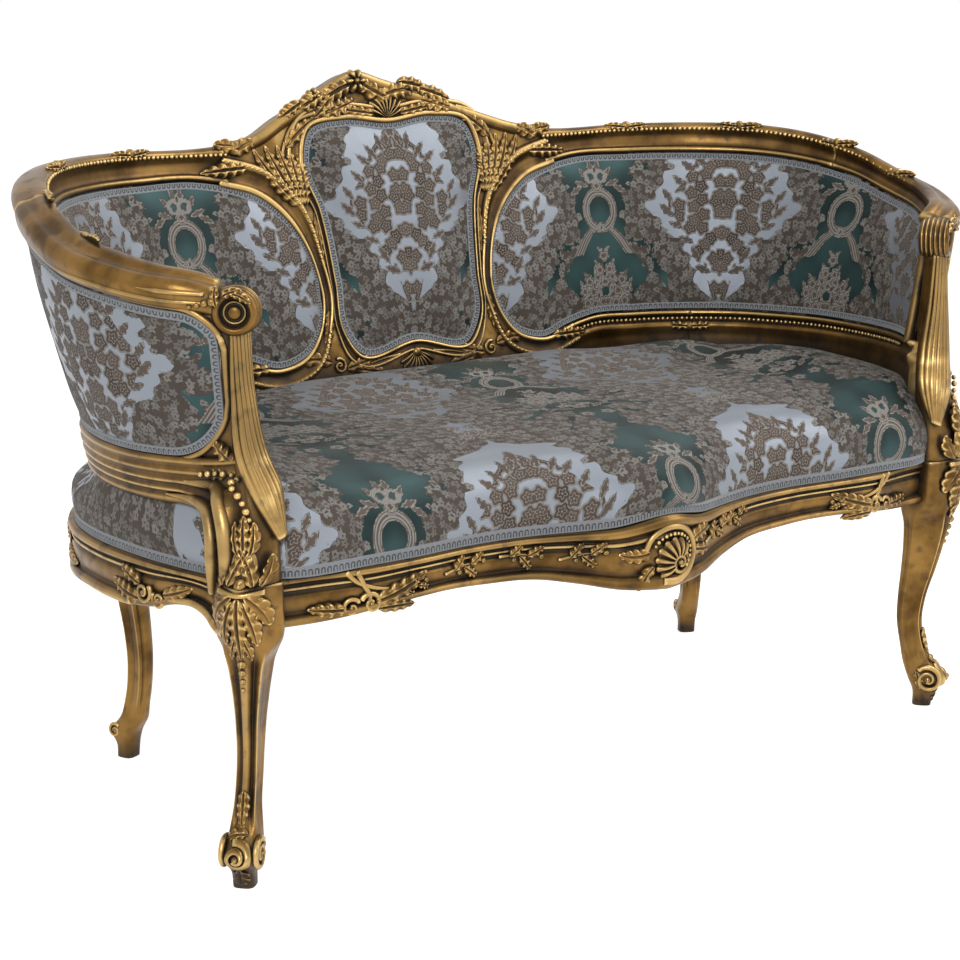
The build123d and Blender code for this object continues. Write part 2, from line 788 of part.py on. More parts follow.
spring_places = GridLocations(spring_spacing_x, spring_spacing_y, spring_columns, spring_rows).local_locations
half_turn_rise = (spring_height - 2 * spring_wire_radius) / (2 * spring_turns)
print("gap between spring turns", 2 * half_turn_rise - 2 * spring_wire_radius)
with BuildPart() as spring:
    with BuildLine() as coil:
        for half_turn in range(2 * spring_turns):
            side = 1 if half_turn % 2 == 0 else -1
            level = half_turn * half_turn_rise
            ThreePointArc(
                (side * spring_radius, 0, level), (0, side * spring_radius, level + half_turn_rise / 2),
                (-side * spring_radius, 0, level + half_turn_rise))
    with BuildSketch(Plane(origin=coil.line @ 0, z_dir=coil.line % 0)):
        Circle(spring_wire_radius)
    sweep()
with BuildPart() as springs:
    for place in spring_places:
        at = place.position + Vector(0, spring_middle_y, web_top + spring_wire_radius)
        add(spring.part.moved(Location(at)))
write(springs, "seat_springs")

spring_columns_x = sorted({round(place.position.X, 3) for place in spring_places})
spring_rows_y = sorted({round(place.position.Y, 3) for place in spring_places})
web_plan = seat_slab(web_inset, web_top - 2 * web_thick, web_top)
with BuildPart() as lengthwise_webs:
    with BuildSketch(Plane.XY.offset(web_top - web_thick)):
        with Locations([(0, spring_middle_y + y) for y in spring_rows_y]):
            Rectangle(2 * seat_half_width, web_width)
    extrude(amount=web_thick)
    add(web_plan.part, mode=Mode.INTERSECT)
write(lengthwise_webs, "seat_webbing_lengthwise")

with BuildPart() as crosswise_webs:
    with BuildSketch(Plane.XY.offset(front_rail_under - web_thick)):
        with Locations([(x, seat_middle_y) for x in spring_columns_x]):
            Rectangle(web_width, 2 * seat_half_depth)
    extrude(amount=web_thick)
    add(web_plan.part, mode=Mode.INTERSECT)
write(crosswise_webs, "seat_webbing_crosswise")
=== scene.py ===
"""Looks of a carved giltwood settee with a brocade cover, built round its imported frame."""
import math
import bmesh
import bpy
import numpy as np
from mathutils import Matrix

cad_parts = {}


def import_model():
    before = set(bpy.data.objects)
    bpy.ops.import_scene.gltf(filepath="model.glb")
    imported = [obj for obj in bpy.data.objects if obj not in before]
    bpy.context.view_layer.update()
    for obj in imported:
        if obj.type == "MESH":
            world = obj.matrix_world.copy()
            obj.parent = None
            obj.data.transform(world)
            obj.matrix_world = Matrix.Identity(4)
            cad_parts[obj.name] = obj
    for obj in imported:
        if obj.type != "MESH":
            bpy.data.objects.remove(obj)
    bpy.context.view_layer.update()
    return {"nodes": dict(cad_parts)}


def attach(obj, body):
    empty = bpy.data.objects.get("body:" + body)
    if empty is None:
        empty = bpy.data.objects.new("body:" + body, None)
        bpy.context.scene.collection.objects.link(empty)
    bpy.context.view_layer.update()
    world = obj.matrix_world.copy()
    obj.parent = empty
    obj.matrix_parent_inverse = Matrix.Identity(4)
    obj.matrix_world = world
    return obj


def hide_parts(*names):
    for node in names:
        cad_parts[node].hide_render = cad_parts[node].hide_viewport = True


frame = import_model()

# Sizes of the frame, in millimetres. The wall of the back and arms is drawn in plan at two heights.
MM = 0.001
back_flat_half = 335.0
low_plan = {"z": 500.0, "back": 246.0, "radii": (268, 305, 395), "turns": (52, 38, 32.5)}
high_plan = {"z": 850.0, "back": 322.0, "radii": (352, 430, 218), "turns": (52, 38, 61)}
# Stations run along the wall: 1 where the flat back ends, and 1 more for each arc, about 250 mm each.
station_scale = 250.0
centre_joint, upright_station, rail_joint, pad_end = 0.866, 1.72, 2.55, 3.88
# Stations where the arm's parts end in front: the outside cover, the rails over and under it, the face beside
# it, and the tube at the end of the inside panel.
outside_end, arm_rail_end, low_rail_end, facing_end, edge_tube = 3.94, 3.92, 4.03, 4.035, 3.887
# Each row: station, lower edge of the inside panel, its upper edge, top of the rail above it.
wall_line = np.array([
    (0.866, 561, 822, 880), (1.0, 571, 831, 878), (1.36, 574, 834, 881), (1.72, 575, 834, 882),
    (2.0, 576, 832, 880), (2.35, 576, 823, 869), (2.7, 577, 805, 847), (3.0, 577, 782, 822),
    (3.3, 578, 768, 807), (3.6, 580, 754, 793), (3.88, 582, 743, 783), (3.97, 584, 737, 776)])
# Each row: station, lower and upper edge of the inside panel's tip beside the medallion.
panel_tip = np.array([
    (0.466, 646, 646), (0.472, 625, 668), (0.507, 591, 716), (0.582, 561, 762), (0.725, 546, 804)])
medallion_middle = 735.0
medallion = [
    (0, 903), (82, 911), (146, 897), (161, 853), (141, 776), (130, 666), (126, 590), (104, 556), (0, 567)]
crest_outline = [
    (290, 880), (235, 888), (181, 904), (129, 921), (61, 943), (0, 964), (-53, 978), (-95, 962), (-140, 938),
    (-188, 915), (-235, 890), (-290, 880)]
base_outline = [(290, 518), (240, 503), (150, 513), (70, 506), (0, 500)]
seat_rail_top = 405.0
front_face = [
    (0, -385), (60, -371), (125, -344), (205, -323), (285, -318), (360, -324), (435, -325), (505, -308),
    (552, -302)]
front_edge = [
    (0, 315), (70, 321), (123, 333), (176, 344), (255, 349), (330, 352), (419, 348), (505, 338), (552, 338)]
front_rise = 15.0
side_face = [(617, -263), (644, -170), (661, -80), (667, 0), (660, 75), (634, 150), (599, 205), (550, 250)]
side_edge = [
    (-263, 334), (-250, 348), (-228, 358), (-200, 358), (-172, 352), (-150, 345), (-120, 340), (-80, 336),
    (-40, 335), (0, 335), (100, 330), (180, 323), (250, 318)]
rail_thick, apron, rail_under = 46.0, 24.0, 355.0
front_foot, front_toe_angle = (600.0, -278.0), -45
back_foot, back_toe_angle = (532, 228), 65
front_leg_line = [
    (0, 0, 29, 29), (18, 1, 31, 30), (46, 4, 56, 48), (72, -10, 45, 40), (96, -18, 38, 32),
    (140, -25, 37, 29), (180, -22, 41, 29), (225, -14, 50, 32), (265, -8, 58, 39), (300, -5, 65, 49),
    (334, -6, 70, 64), (370, -6, 70, 66), (405, -6, 70, 66)]
back_leg_line = [
    (0, 0, 28, 28), (18, -1, 30, 29), (40, 1, 44, 36), (64, -15, 40, 32), (90, -24, 34, 30),
    (145, -30, 32, 30), (200, -24, 34, 32), (240, -16, 37, 35), (285, -8, 42, 40), (334, -4, 52, 50)]
seat_ring = front_face[:-2] + [(545, -318), (610, -262)] + side_face[1:-1] + [
    (545, 249), (470, 262), (300, 262), (150, 262), (0, 262)]
seat_middle, seat_half_width, seat_half_depth = -61.5, 667.0, 323.5
pad_section = [(0, 9), (20, 3), (42, 3), (66, 12), (86, 34), (103, 90), (113, 165), (117, 245), (118, 323.5)]


# Curves and meshes

def run_along(points):
    """Distance along a broken line, at each of its points."""
    return np.r_[0, np.cumsum(np.linalg.norm(np.diff(points, axis=0), axis=1))]


def length_of(points):
    """Length of a broken line."""
    return np.linalg.norm(np.diff(points, axis=0), axis=1).sum()


def alike(*values):
    """Arrays of numbers with one common shape."""
    return [np.array(a, float) for a in np.broadcast_arrays(*values)]


def full_turn(count):
    """Angles spread evenly round a circle."""
    return np.linspace(0, 2 * np.pi, count, endpoint=False)


def even(points, count, closed=False):
    """Points spread evenly along a broken line."""
    run = run_along(points)
    marks = np.linspace(0, run[-1], count, endpoint=not closed)
    return np.stack([np.interp(marks, run, points[:, k]) for k in range(points.shape[1])], 1)


def smooth(points, count, closed=False):
    """Points spread evenly along a smooth curve through the given ones."""
    q = np.asarray(points, float)
    if closed:
        q = np.concatenate([q[-3:], q, q[:4]])
    knot = run_along(q)
    slope = np.gradient(q, knot, axis=0)
    first, last = (knot[3], knot[-4]) if closed else (knot[0], knot[-1])
    t = np.linspace(first, last, 12 * len(q) + 2 * count)
    i = np.clip(np.searchsorted(knot, t, side="right") - 1, 0, len(knot) - 2)
    span = (knot[i + 1] - knot[i])[:, None]
    s = (t - knot[i])[:, None] / span
    line = ((1 + 2 * s) * (1 - s) ** 2 * q[i] + s * (1 - s) ** 2 * span * slope[i]
            + s * s * (3 - 2 * s) * q[i + 1] + s * s * (s - 1) * span * slope[i + 1])
    return even(line, count, closed)


def level(points, scale=1.0):
    """A smooth function through (place, height) points."""
    line = smooth([(x * scale, z) for x, z in points], 600)
    return lambda x: np.interp(np.asarray(x) * scale, line[:, 0], line[:, 1])


def ease(x, start, end):
    """Rises smoothly from 0 at start to 1 at end."""
    t = np.clip((np.asarray(x, float) - start) / (end - start), 0, 1)
    return t * t * (3 - 2 * t)


def unit(v):
    """Vectors of length one."""
    return v / np.maximum(np.linalg.norm(v, axis=-1, keepdims=True), 1e-12)


def loop_heading(loop):
    """Directions along a closed line."""
    return unit(np.roll(loop, -1, 0) - np.roll(loop, 1, 0))


class Mesh:
    """Collects grids of points into one mesh object."""

    def __init__(self):
        self.points = []
        self.quads = []
        self.caps = []
        self.tags = []
        self.uvs = []
        self.count = 0

    def grid(self, g, wrap_u=False, wrap_v=False, caps=False, tags=None, uv=None):
        """Adds a grid of points (rows, columns, 3); a closed profile may have its two ends capped."""
        n, m = g.shape[:2]
        index = np.arange(n * m).reshape(n, m) + self.count
        rows = np.r_[np.arange(n), 0] if wrap_u else np.arange(n)
        columns = np.r_[np.arange(m), 0] if wrap_v else np.arange(m)
        i = index[np.ix_(rows, columns)]
        quads = np.stack([i[:-1, :-1], i[1:, :-1], i[1:, 1:], i[:-1, 1:]], -1)
        self.quads.append(quads.reshape(-1, 4))
        if caps:
            self.caps += [index[0].tolist(), index[-1][::-1].tolist()]
        self.points.append(g.reshape(-1, 3))
        self.tags.append(tags)
        self.uvs.append(uv)
        self.count += n * m
        return self

    def solid(self, g):
        """Adds a closed profile carried along rows, with both of its ends capped."""
        return self.grid(g, wrap_v=True, caps=True)

    def mirrored(self):
        """The same mesh on the other side of the settee."""
        twin = Mesh()
        twin.points = [p * np.array([-1, 1, 1]) for p in self.points]
        twin.quads = [q[:, ::-1] for q in self.quads]
        twin.caps = [c[::-1] for c in self.caps]
        twin.tags, twin.uvs, twin.count = self.tags, self.uvs, self.count
        return twin

    def build(self, name, material, slot, replaces=(), merge=0.0):
        """Makes the object, which rides on the settee's one body."""
        data = bpy.data.meshes.new(name)
        faces = np.concatenate(self.quads).tolist() + self.caps
        data.from_pydata(np.concatenate(self.points), [], faces)
        for key in self.tags[0] or {}:
            values = np.concatenate([t[key].reshape(-1) for t in self.tags])
            data.attributes.new(key, "FLOAT", "POINT").data.foreach_set("value", values.astype(np.float32))
        if self.uvs[0] is not None:
            flat = np.concatenate([u.reshape(-1, 2) for u in self.uvs])
            corner = np.zeros(len(data.loops), np.int32)
            data.loops.foreach_get("vertex_index", corner)
            places = flat[corner].astype(np.float32).reshape(-1)
            data.uv_layers.new(name="cloth").data.foreach_set("uv", places)
        work = bmesh.new()
        work.from_mesh(data)
        if merge:
            bmesh.ops.remove_doubles(work, verts=work.verts, dist=merge)
        bmesh.ops.recalc_face_normals(work, faces=work.faces)
        work.to_mesh(data)
        work.free()
        data.shade_smooth()
        data.materials.append(material)
        obj = bpy.data.objects.new(name, data)
        bpy.context.scene.collection.objects.link(obj)
        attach(obj, "root")
        if replaces:
            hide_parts(*replaces)
        return obj


# The leaning wall

def plan_point(plan, station):
    """Plan of the wall at one level, for an array of stations."""
    s = np.clip(np.abs(station), 0, 4.4)
    x = np.minimum(s, 1) * back_flat_half
    y = np.full_like(x, plan["back"])
    heading = np.zeros_like(x)
    for k in range(3):
        after = heading + np.radians(plan["turns"][k]) * np.clip(s - 1 - k, 0, 1 if k < 2 else 1.4)
        x = x + plan["radii"][k] * (np.sin(after) - np.sin(heading))
        y = y + plan["radii"][k] * (np.cos(after) - np.cos(heading))
        heading = after
    return np.stack([np.sign(station) * x, y], -1)


def wall_base(station, z):
    """Points on the wall's own surface, in millimetres."""
    share = (z - low_plan["z"]) / (high_plan["z"] - low_plan["z"])
    low, high = plan_point(low_plan, station), plan_point(high_plan, station)
    return np.concatenate([low + (high - low) * share[..., None], z[..., None]], -1)


def wall(station, z, out):
    """Points in metres: station along the wall, height, and distance outward from it."""
    station, z, out = alike(station, z, out)
    step = 0.01
    along = wall_base(station + step, z) - wall_base(station - step, z)
    up = wall_base(station, z + 1) - wall_base(station, z)
    return (wall_base(station, z) + unit(np.cross(up, along)) * out[..., None]) * MM


stations_along = np.linspace(0, 4.3, 861)
wall_run = run_along(wall(stations_along, 700, 0))


def run_of(station):
    """Distance along the wall at mid height, in metres."""
    return np.sign(station) * np.interp(np.abs(station), stations_along, wall_run)


def station_at(run):
    """The station at a distance along the wall, in metres."""
    return np.sign(run) * np.interp(np.abs(run), wall_run, stations_along)


inside_under = level(np.concatenate([panel_tip[:, [0, 1]], wall_line[:, [0, 1]]]), station_scale)
inside_over = level(np.concatenate([panel_tip[:, [0, 2]], wall_line[:, [0, 2]]]), station_scale)
rail_over = level(wall_line[:, [0, 3]], station_scale)


# Materials

def set_inputs(tree, node, values):
    """Gives inputs of a node their sockets or values."""
    for key, value in values.items():
        socket = node.inputs[key]
        if isinstance(value, bpy.types.NodeSocket):
            tree.links.new(value, socket)
        else:
            socket.default_value = value


def add_node(tree, kind, links=None, **settings):
    """A shader node; links maps its inputs to sockets or values."""
    node = tree.nodes.new("ShaderNode" + kind)
    for key, value in settings.items():
        setattr(node, key, value)
    set_inputs(tree, node, links or {})
    return node


def maths(tree, operation, a, b=0.0, clamp=False):
    """The result of one sum."""
    return add_node(tree, "Math", {0: a, 1: b}, operation=operation, use_clamp=clamp).outputs[0]


def times(tree, a, b, clamp=False):
    """The product of two values."""
    return maths(tree, "MULTIPLY", a, b, clamp)


def plus(tree, a, b, clamp=False):
    """Two values added."""
    return maths(tree, "ADD", a, b, clamp)


def larger(tree, a, b):
    """The larger of two values."""
    return maths(tree, "MAXIMUM", a, b)


def scaled(tree, value, factor, start):
    """A value times a factor, added to a start."""
    return add_node(tree, "Math", {0: value, 1: factor, 2: start}, operation="MULTIPLY_ADD").outputs[0]


def blend_colours(tree, factor, a, b):
    """Colour a where the factor is 0, colour b where it is 1."""
    first, second = ((*value, 1.0) if isinstance(value, tuple) else value for value in (a, b))
    return add_node(tree, "Mix", {"Factor": factor, 6: first, 7: second}, data_type="RGBA").outputs[2]


def step_up(tree, value, low, high):
    """0 below low, 1 above high, smooth between."""
    links = {"Value": value, "From Min": low, "From Max": high}
    return add_node(tree, "MapRange", links, interpolation_type="SMOOTHSTEP").outputs[0]


def new_material(name):
    """An empty material with its surface shader."""
    material = bpy.data.materials.new(name)
    material.use_nodes = True
    return material, material.node_tree, material.node_tree.nodes["Principled BSDF"]


def noise(tree, place, scale, detail):
    """A noise value."""
    links = {"Vector": place, "Scale": scale, "Detail": detail, "Roughness": 0.55}
    return add_node(tree, "TexNoise", links).outputs["Fac"]


def wave(tree, place, scale, distortion, direction):
    """A wave value along one direction."""
    links = {"Vector": place, "Scale": scale, "Distortion": distortion}
    return add_node(tree, "TexWave", links, bands_direction=direction).outputs["Fac"]


def set_bump(tree, shader, height, distance, strength):
    """Joins a height to the shader's normal."""
    links = {"Height": height, "Distance": distance, "Strength": strength}
    tree.links.new(add_node(tree, "Bump", links).outputs["Normal"], shader.inputs["Normal"])


def gilt_material(name, carved):
    """Gold leaf: painted shade where parts close in, patina in creases, and a painted highlight on carved
    ridges.
    """
    material, tree, shader = new_material(name)
    place = add_node(tree, "TexCoord").outputs["Object"]
    broad = noise(tree, place, 14.0, 4.0)
    patches = noise(tree, place, 46.0, 5.0)
    grain = noise(tree, place, 420.0, 3.0)
    # Painted shade: the gold darkens to near black and loses its shine where nearby surfaces close in within
    # 4 cm; in the carved hollows this also stands for patina.
    occlusion = add_node(tree, "AmbientOcclusion", {"Distance": 0.040}, samples=8).outputs["AO"]
    ridge = add_node(tree, "NewGeometry").outputs["Pointiness"] if carved else broad
    shade = step_up(tree, occlusion, 0.97, 0.46)
    crease = step_up(tree, ridge, 0.5, 0.44) if carved else step_up(tree, broad, 0.5, 0.3)
    stain = step_up(tree, patches, 0.52, 0.72)
    dark = plus(tree, times(tree, shade, 0.85), times(tree, crease, 0.45))
    dark = plus(tree, dark, times(tree, stain, 0.38), clamp=True)
    gold = blend_colours(tree, step_up(tree, broad, 0.3, 0.7), (0.078, 0.038, 0.009), (0.27, 0.148, 0.040))
    # Painted highlight: where carved, the ridges are lightened towards bright gold; on flat gilding the same
    # step lightens patches of the broad noise.
    ridge_highlight = step_up(tree, ridge, 0.515, 0.57 if carved else 0.9)
    highlit_gold = blend_colours(tree, ridge_highlight, gold, (0.68, 0.46, 0.18))
    set_inputs(tree, shader, {
        "Base Color": blend_colours(tree, dark, highlit_gold, (0.013, 0.008, 0.004)),
        "Metallic": scaled(tree, dark, -0.55, 0.95),
        "Roughness": plus(tree, scaled(tree, dark, 0.26, 0.27), times(tree, grain, 0.1))})
    set_bump(tree, shader, plus(tree, grain, patches), 0.0006, 0.35)
    return material


def florets(tree, place, scale, petals, depth):
    """Scattered flowers: distance from the middle, the same less the petals, and a chance value for each."""
    links = {"Vector": place, "Scale": scale, "Randomness": 0.75}
    cell = add_node(tree, "TexVoronoi", links, voronoi_dimensions="2D")
    offset = add_node(tree, "VectorMath", {0: place, 1: cell.outputs["Position"]}, operation="SUBTRACT")
    split = add_node(tree, "SeparateXYZ", {0: offset.outputs[0]})
    angle = times(tree, maths(tree, "ARCTAN2", split.outputs[1], split.outputs[0]), petals)
    chance = add_node(tree, "SeparateColor", {0: cell.outputs["Color"]}).outputs[0]
    wave = maths(tree, "COSINE", plus(tree, angle, times(tree, chance, 6.28)))
    away = cell.outputs["Distance"]
    return away, maths(tree, "SUBTRACT", away, times(tree, wave, depth)), chance


def brocade_material():
    """Satin brocade: silver and teal grounds, small flowers, bouquets of roses and ribbon wreaths."""
    material, tree, shader = new_material("satin_brocade")
    place = add_node(tree, "UVMap", uv_map="cloth").outputs["UV"]
    values = {}
    for key in ("ground", "band", "bouquet", "figure", "rim", "vein"):
        values[key] = add_node(tree, "Attribute", attribute_name=key).outputs["Fac"]
    fine = noise(tree, place, 620.0, 2.0)
    shade = noise(tree, place, 22.0, 3.0)
    ground = step_up(tree, values["ground"], -0.002, 0.002)

    drift = add_node(tree, "TexNoise", {"Vector": place, "Scale": 120.0, "Detail": 2.0}).outputs["Color"]
    push = {0: drift, 1: (0.011, 0.011, 0.0), 2: place}
    bent = add_node(tree, "VectorMath", push, operation="MULTIPLY_ADD").outputs[0]
    away, edge, chance = florets(tree, bent, 80.0, 5.0, 0.11)
    edge = maths(tree, "SUBTRACT", edge, times(tree, chance, 0.08))
    petal = times(tree, step_up(tree, edge, 0.41, 0.33), step_up(tree, away, 0.08, 0.14))
    cloud = add_node(tree, "TexVoronoi", {"Vector": place, "Scale": 52.0}, voronoi_dimensions="2D")
    lobe = times(tree, maths(tree, "SUBTRACT", 0.42, cloud.outputs["Distance"]), 0.016)
    lobe = plus(tree, lobe, times(tree, maths(tree, "SUBTRACT", petal, 0.5), 0.003))
    band = step_up(tree, plus(tree, values["band"], lobe), -0.0003, 0.0003)
    vein_cells = {"Vector": place, "Scale": 10.0}
    channel = add_node(tree, "TexVoronoi", vein_cells, voronoi_dimensions="2D", feature="DISTANCE_TO_EDGE")
    gap = plus(tree, channel.outputs["Distance"], times(tree, lobe, 12.0))
    gap = plus(tree, gap, ground)
    band = times(tree, band, step_up(tree, gap, 0.020, 0.026))
    speck = times(tree, petal, scaled(tree, fine, 0.9, 0.5), clamp=True)
    brown = blend_colours(tree, shade, (0.062, 0.051, 0.043), (0.112, 0.085, 0.067))
    beige = blend_colours(tree, chance, (0.150, 0.139, 0.126), (0.275, 0.262, 0.242))
    # Painted sheen: broad lighter and darker patches on the teal satin stand for its reflections.
    sweep = noise(tree, place, 9.0, 1.0)
    teal = blend_colours(tree, step_up(tree, sweep, 0.38, 0.62), (0.010, 0.023, 0.022), (0.036, 0.078, 0.079))
    satin = blend_colours(tree, ground, teal, (0.29, 0.318, 0.36))
    colour = blend_colours(tree, band, satin, blend_colours(tree, speck, brown, beige))

    away, edge, chance = florets(tree, place, 46.0, 5.0, 0.07)
    bunch = step_up(tree, values["bouquet"], -0.0004, 0.0004)
    rose = times(tree, step_up(tree, edge, 0.59, 0.56), bunch)
    inner = step_up(tree, maths(tree, "ABSOLUTE", maths(tree, "SUBTRACT", edge, 0.25)), 0.045, 0.02)
    pale = larger(tree, step_up(tree, edge, 0.44, 0.48), inner)
    pale = larger(tree, pale, step_up(tree, away, 0.09, 0.05))
    bloom = blend_colours(tree, chance, (0.070, 0.048, 0.036), (0.135, 0.100, 0.078))
    colour = blend_colours(tree, rose, colour, blend_colours(tree, pale, bloom, (0.27, 0.255, 0.235)))

    motif = step_up(tree, values["figure"], -0.0004, 0.0004)
    rim = step_up(tree, values["rim"], 0.0027, 0.0014)
    vein = step_up(tree, maths(tree, "ABSOLUTE", values["vein"]), 0.0016, 0.0007)
    line = larger(tree, rim, vein)
    ribbon = blend_colours(tree, shade, (0.090, 0.066, 0.052), (0.160, 0.126, 0.104))
    colour = blend_colours(tree, motif, colour, blend_colours(tree, line, ribbon, (0.33, 0.315, 0.29)))

    figure = larger(tree, larger(tree, band, rose), motif)
    weft, warp = wave(tree, place, 380.0, 0.6, "Y"), wave(tree, place, 300.0, 0.6, "X")
    weave = plus(tree, weft, times(tree, warp, 0.6))
    raised = times(tree, figure, plus(tree, times(tree, petal, 1.4), 2.2))
    set_bump(tree, shader, plus(tree, raised, times(tree, weave, 0.35)), 0.0003, 0.8)
    set_inputs(tree, shader, {
        "Base Color": colour, "Roughness": scaled(tree, figure, 0.38, 0.34),
        "Metallic": scaled(tree, figure, -0.45, 0.45), "Specular IOR Level": 0.22,
        "Sheen Weight": 0.09, "Sheen Roughness": 0.4})
    return material


def braid_material():
    """Silver-grey gimp braid, darker between its cords."""
    material, tree, shader = new_material("gimp_braid")
    place = add_node(tree, "TexCoord").outputs["Object"]
    gap = add_node(tree, "Attribute", attribute_name="gap").outputs["Fac"]
    fleck = noise(tree, place, 900.0, 2.0)
    pale = blend_colours(tree, fleck, (0.17, 0.178, 0.19), (0.33, 0.345, 0.365))
    colour = blend_colours(tree, step_up(tree, gap, 0.25, 0.75), pale, (0.052, 0.056, 0.062))
    set_inputs(tree, shader, {"Base Color": colour, "Roughness": 0.65, "Sheen Weight": 0.3})
    set_bump(tree, shader, fleck, 0.0004, 0.6)
    return material


def wood_material(name, dark, light):
    """Beech of the hidden frame, with a long grain."""
    material, tree, shader = new_material(name)
    place = add_node(tree, "TexCoord").outputs["Object"]
    stretch = add_node(tree, "Mapping", {"Vector": place, "Scale": (6.0, 60.0, 60.0)}).outputs["Vector"]
    grain = noise(tree, stretch, 3.0, 6.0)
    fleck = noise(tree, place, 300.0, 2.0)
    colour, rough = blend_colours(tree, grain, dark, light), step_up(tree, fleck, -0.6, 1.6)
    set_inputs(tree, shader, {"Base Color": colour, "Roughness": rough})
    set_bump(tree, shader, plus(tree, grain, fleck), 0.0006, 0.5)
    return material


def jute_material():
    """Coarse jute: crossing yarns with a straw colour."""
    material, tree, shader = new_material("jute")
    place = add_node(tree, "TexCoord").outputs["Object"]
    weft, warp = (wave(tree, place, 120.0, 1.5, direction) for direction in "XY")
    yarn = times(tree, weft, warp)
    colour = blend_colours(tree, yarn, (0.13, 0.085, 0.045), (0.43, 0.33, 0.20))
    set_inputs(tree, shader, {"Base Color": colour, "Roughness": 0.9})
    set_bump(tree, shader, yarn, 0.0008, 0.8)
    return material


def steel_material():
    """Dull drawn steel with specks of rust."""
    material, tree, shader = new_material("drawn_steel")
    place = add_node(tree, "TexCoord").outputs["Object"]
    rust = step_up(tree, noise(tree, place, 140.0, 5.0), 0.58, 0.7)
    set_inputs(tree, shader, {
        "Base Color": blend_colours(tree, rust, (0.42, 0.41, 0.39), (0.16, 0.07, 0.03)),
        "Metallic": maths(tree, "SUBTRACT", 1.0, rust), "Roughness": scaled(tree, rust, 0.4, 0.38)})
    return material


gilt = gilt_material("aged_gilding_painted_light", True)
flat_gilt = gilt_material("flat_gilding_painted_shade", False)
brocade = brocade_material()
braid_cloth = braid_material()


# The figure of the brocade, in metres of cloth. It mirrors about the middle of each column: a column of
# teal with ribbon wreaths at 0, and a column of silver with bouquets half a repeat away.

repeat_u, repeat_v = 0.43, 0.46
half_u = repeat_u / 2
wreath_height = 0.218
draw = np.random.default_rng(7)
# Each row: height over the wreath, inner and outer edge of the foliage, half width of the silver bouquet.
figure_rows = np.array([
    (-0.210, 0.044, 0.200, 0.000), (-0.180, 0.050, 0.222, 0.000), (-0.156, 0.022, 0.216, 0.010),
    (-0.138, 0.050, 0.186, 0.018), (-0.118, 0.076, 0.174, 0.024), (-0.098, 0.080, 0.166, 0.028),
    (-0.080, 0.066, 0.163, 0.038), (-0.060, 0.042, 0.149, 0.052), (-0.030, 0.040, 0.114, 0.076),
    (0.002, 0.044, 0.084, 0.096), (0.016, 0.046, 0.092, 0.094), (0.034, 0.050, 0.114, 0.078),
    (0.056, 0.060, 0.122, 0.064), (0.083, 0.074, 0.126, 0.046), (0.106, 0.056, 0.132, 0.022),
    (0.128, 0.034, 0.146, 0.000), (0.150, 0.018, 0.196, 0.000), (0.175, 0.010, 0.226, 0.000),
    (0.200, 0.026, 0.204, 0.000)])


def row_value(column, b):
    """A column of the table at heights over the wreath."""
    return np.interp(b, figure_rows[:, 0], figure_rows[:, column], period=repeat_v)


def scattered(step, low, high, inside):
    """Places on a loose grid, kept where they lie inside a shape."""
    u, v = np.meshgrid(np.arange(low[0], high[0], step), np.arange(low[1], high[1], step * 0.9))
    u = (u + (np.arange(len(u)) % 2)[:, None] * step / 2 + draw.uniform(-0.25, 0.25, u.shape) * step).ravel()
    v = (v.ravel() + draw.uniform(-0.25, 0.25, v.size) * step)
    keep = inside(u, v)
    return np.stack([u[keep], v[keep]], 1)


def place_motifs():
    """Rows of (kind, u, v, size, turn): leaves by the bouquets, flowers in the teal, the wreath's crown."""
    rows = []
    for v in np.arange(-0.10, 0.085, 0.024):
        u = half_u - row_value(3, v)
        rows.append(("leaf", u - 0.003, v, draw.uniform(0.014, 0.019), draw.uniform(1.9, 2.9)))
    for turn, u, v in ((1.3, 0.205, 0.100), (1.8, 0.190, 0.094), (2.3, 0.172, 0.080), (1.5, 0.213, 0.116)):
        rows.append(("leaf", u, v, 0.017, turn))
    pool = scattered(0.019, (0.0, -0.145), (0.05, -0.07), lambda u, v: u < 0.014 + 0.75 * (-0.078 - v))
    for u, v in pool:
        rows.append(("leaf", u + 0.004, v + 0.008, draw.uniform(0.011, 0.014), draw.uniform(0.6, 2.0)))
    for u, v in pool:
        rows.append(("rose", u, v, draw.uniform(0.0095, 0.013), draw.uniform(0, 6)))
    crown = ((1.45, 0.006, 0.072), (0.95, 0.020, 0.060), (0.35, 0.028, 0.044), (-0.5, 0.040, 0.034))
    for turn, u, v in crown:
        rows.append(("leaf", u, v, 0.015, turn))
    for u, v, size in (
            (0, 0.040, 0.011), (0, -0.028, 0.009), (0, -0.200, 0.015), (0.020, -0.188, 0.011),
            (0.215, 0.205, 0.016), (0.196, 0.192, 0.012), (0.200, -0.225, 0.012), (0.018, 0.215, 0.012)):
        rows.append(("rose", u, v, size, draw.uniform(0, 6)))
    rows.append(("loop", 0.009, 0.055, 0.011, 0.0))
    for turn, u, v in ((0.6, 0.030, -0.203), (1.6, 0.008, -0.178), (2.2, 0.188, 0.210), (-2.4, 0.182, 0.180)):
        rows.append(("leaf", u, v, 0.017, turn))
    return rows


motifs = place_motifs()


def column_place(u):
    """Distance from the nearest wreath column."""
    return np.abs((u + half_u) % repeat_u - half_u)


def cloth_place(u, v):
    """Places on the cloth for its shader: mirrored about each column, so that the figure is too."""
    return np.stack([column_place(u), v], -1)


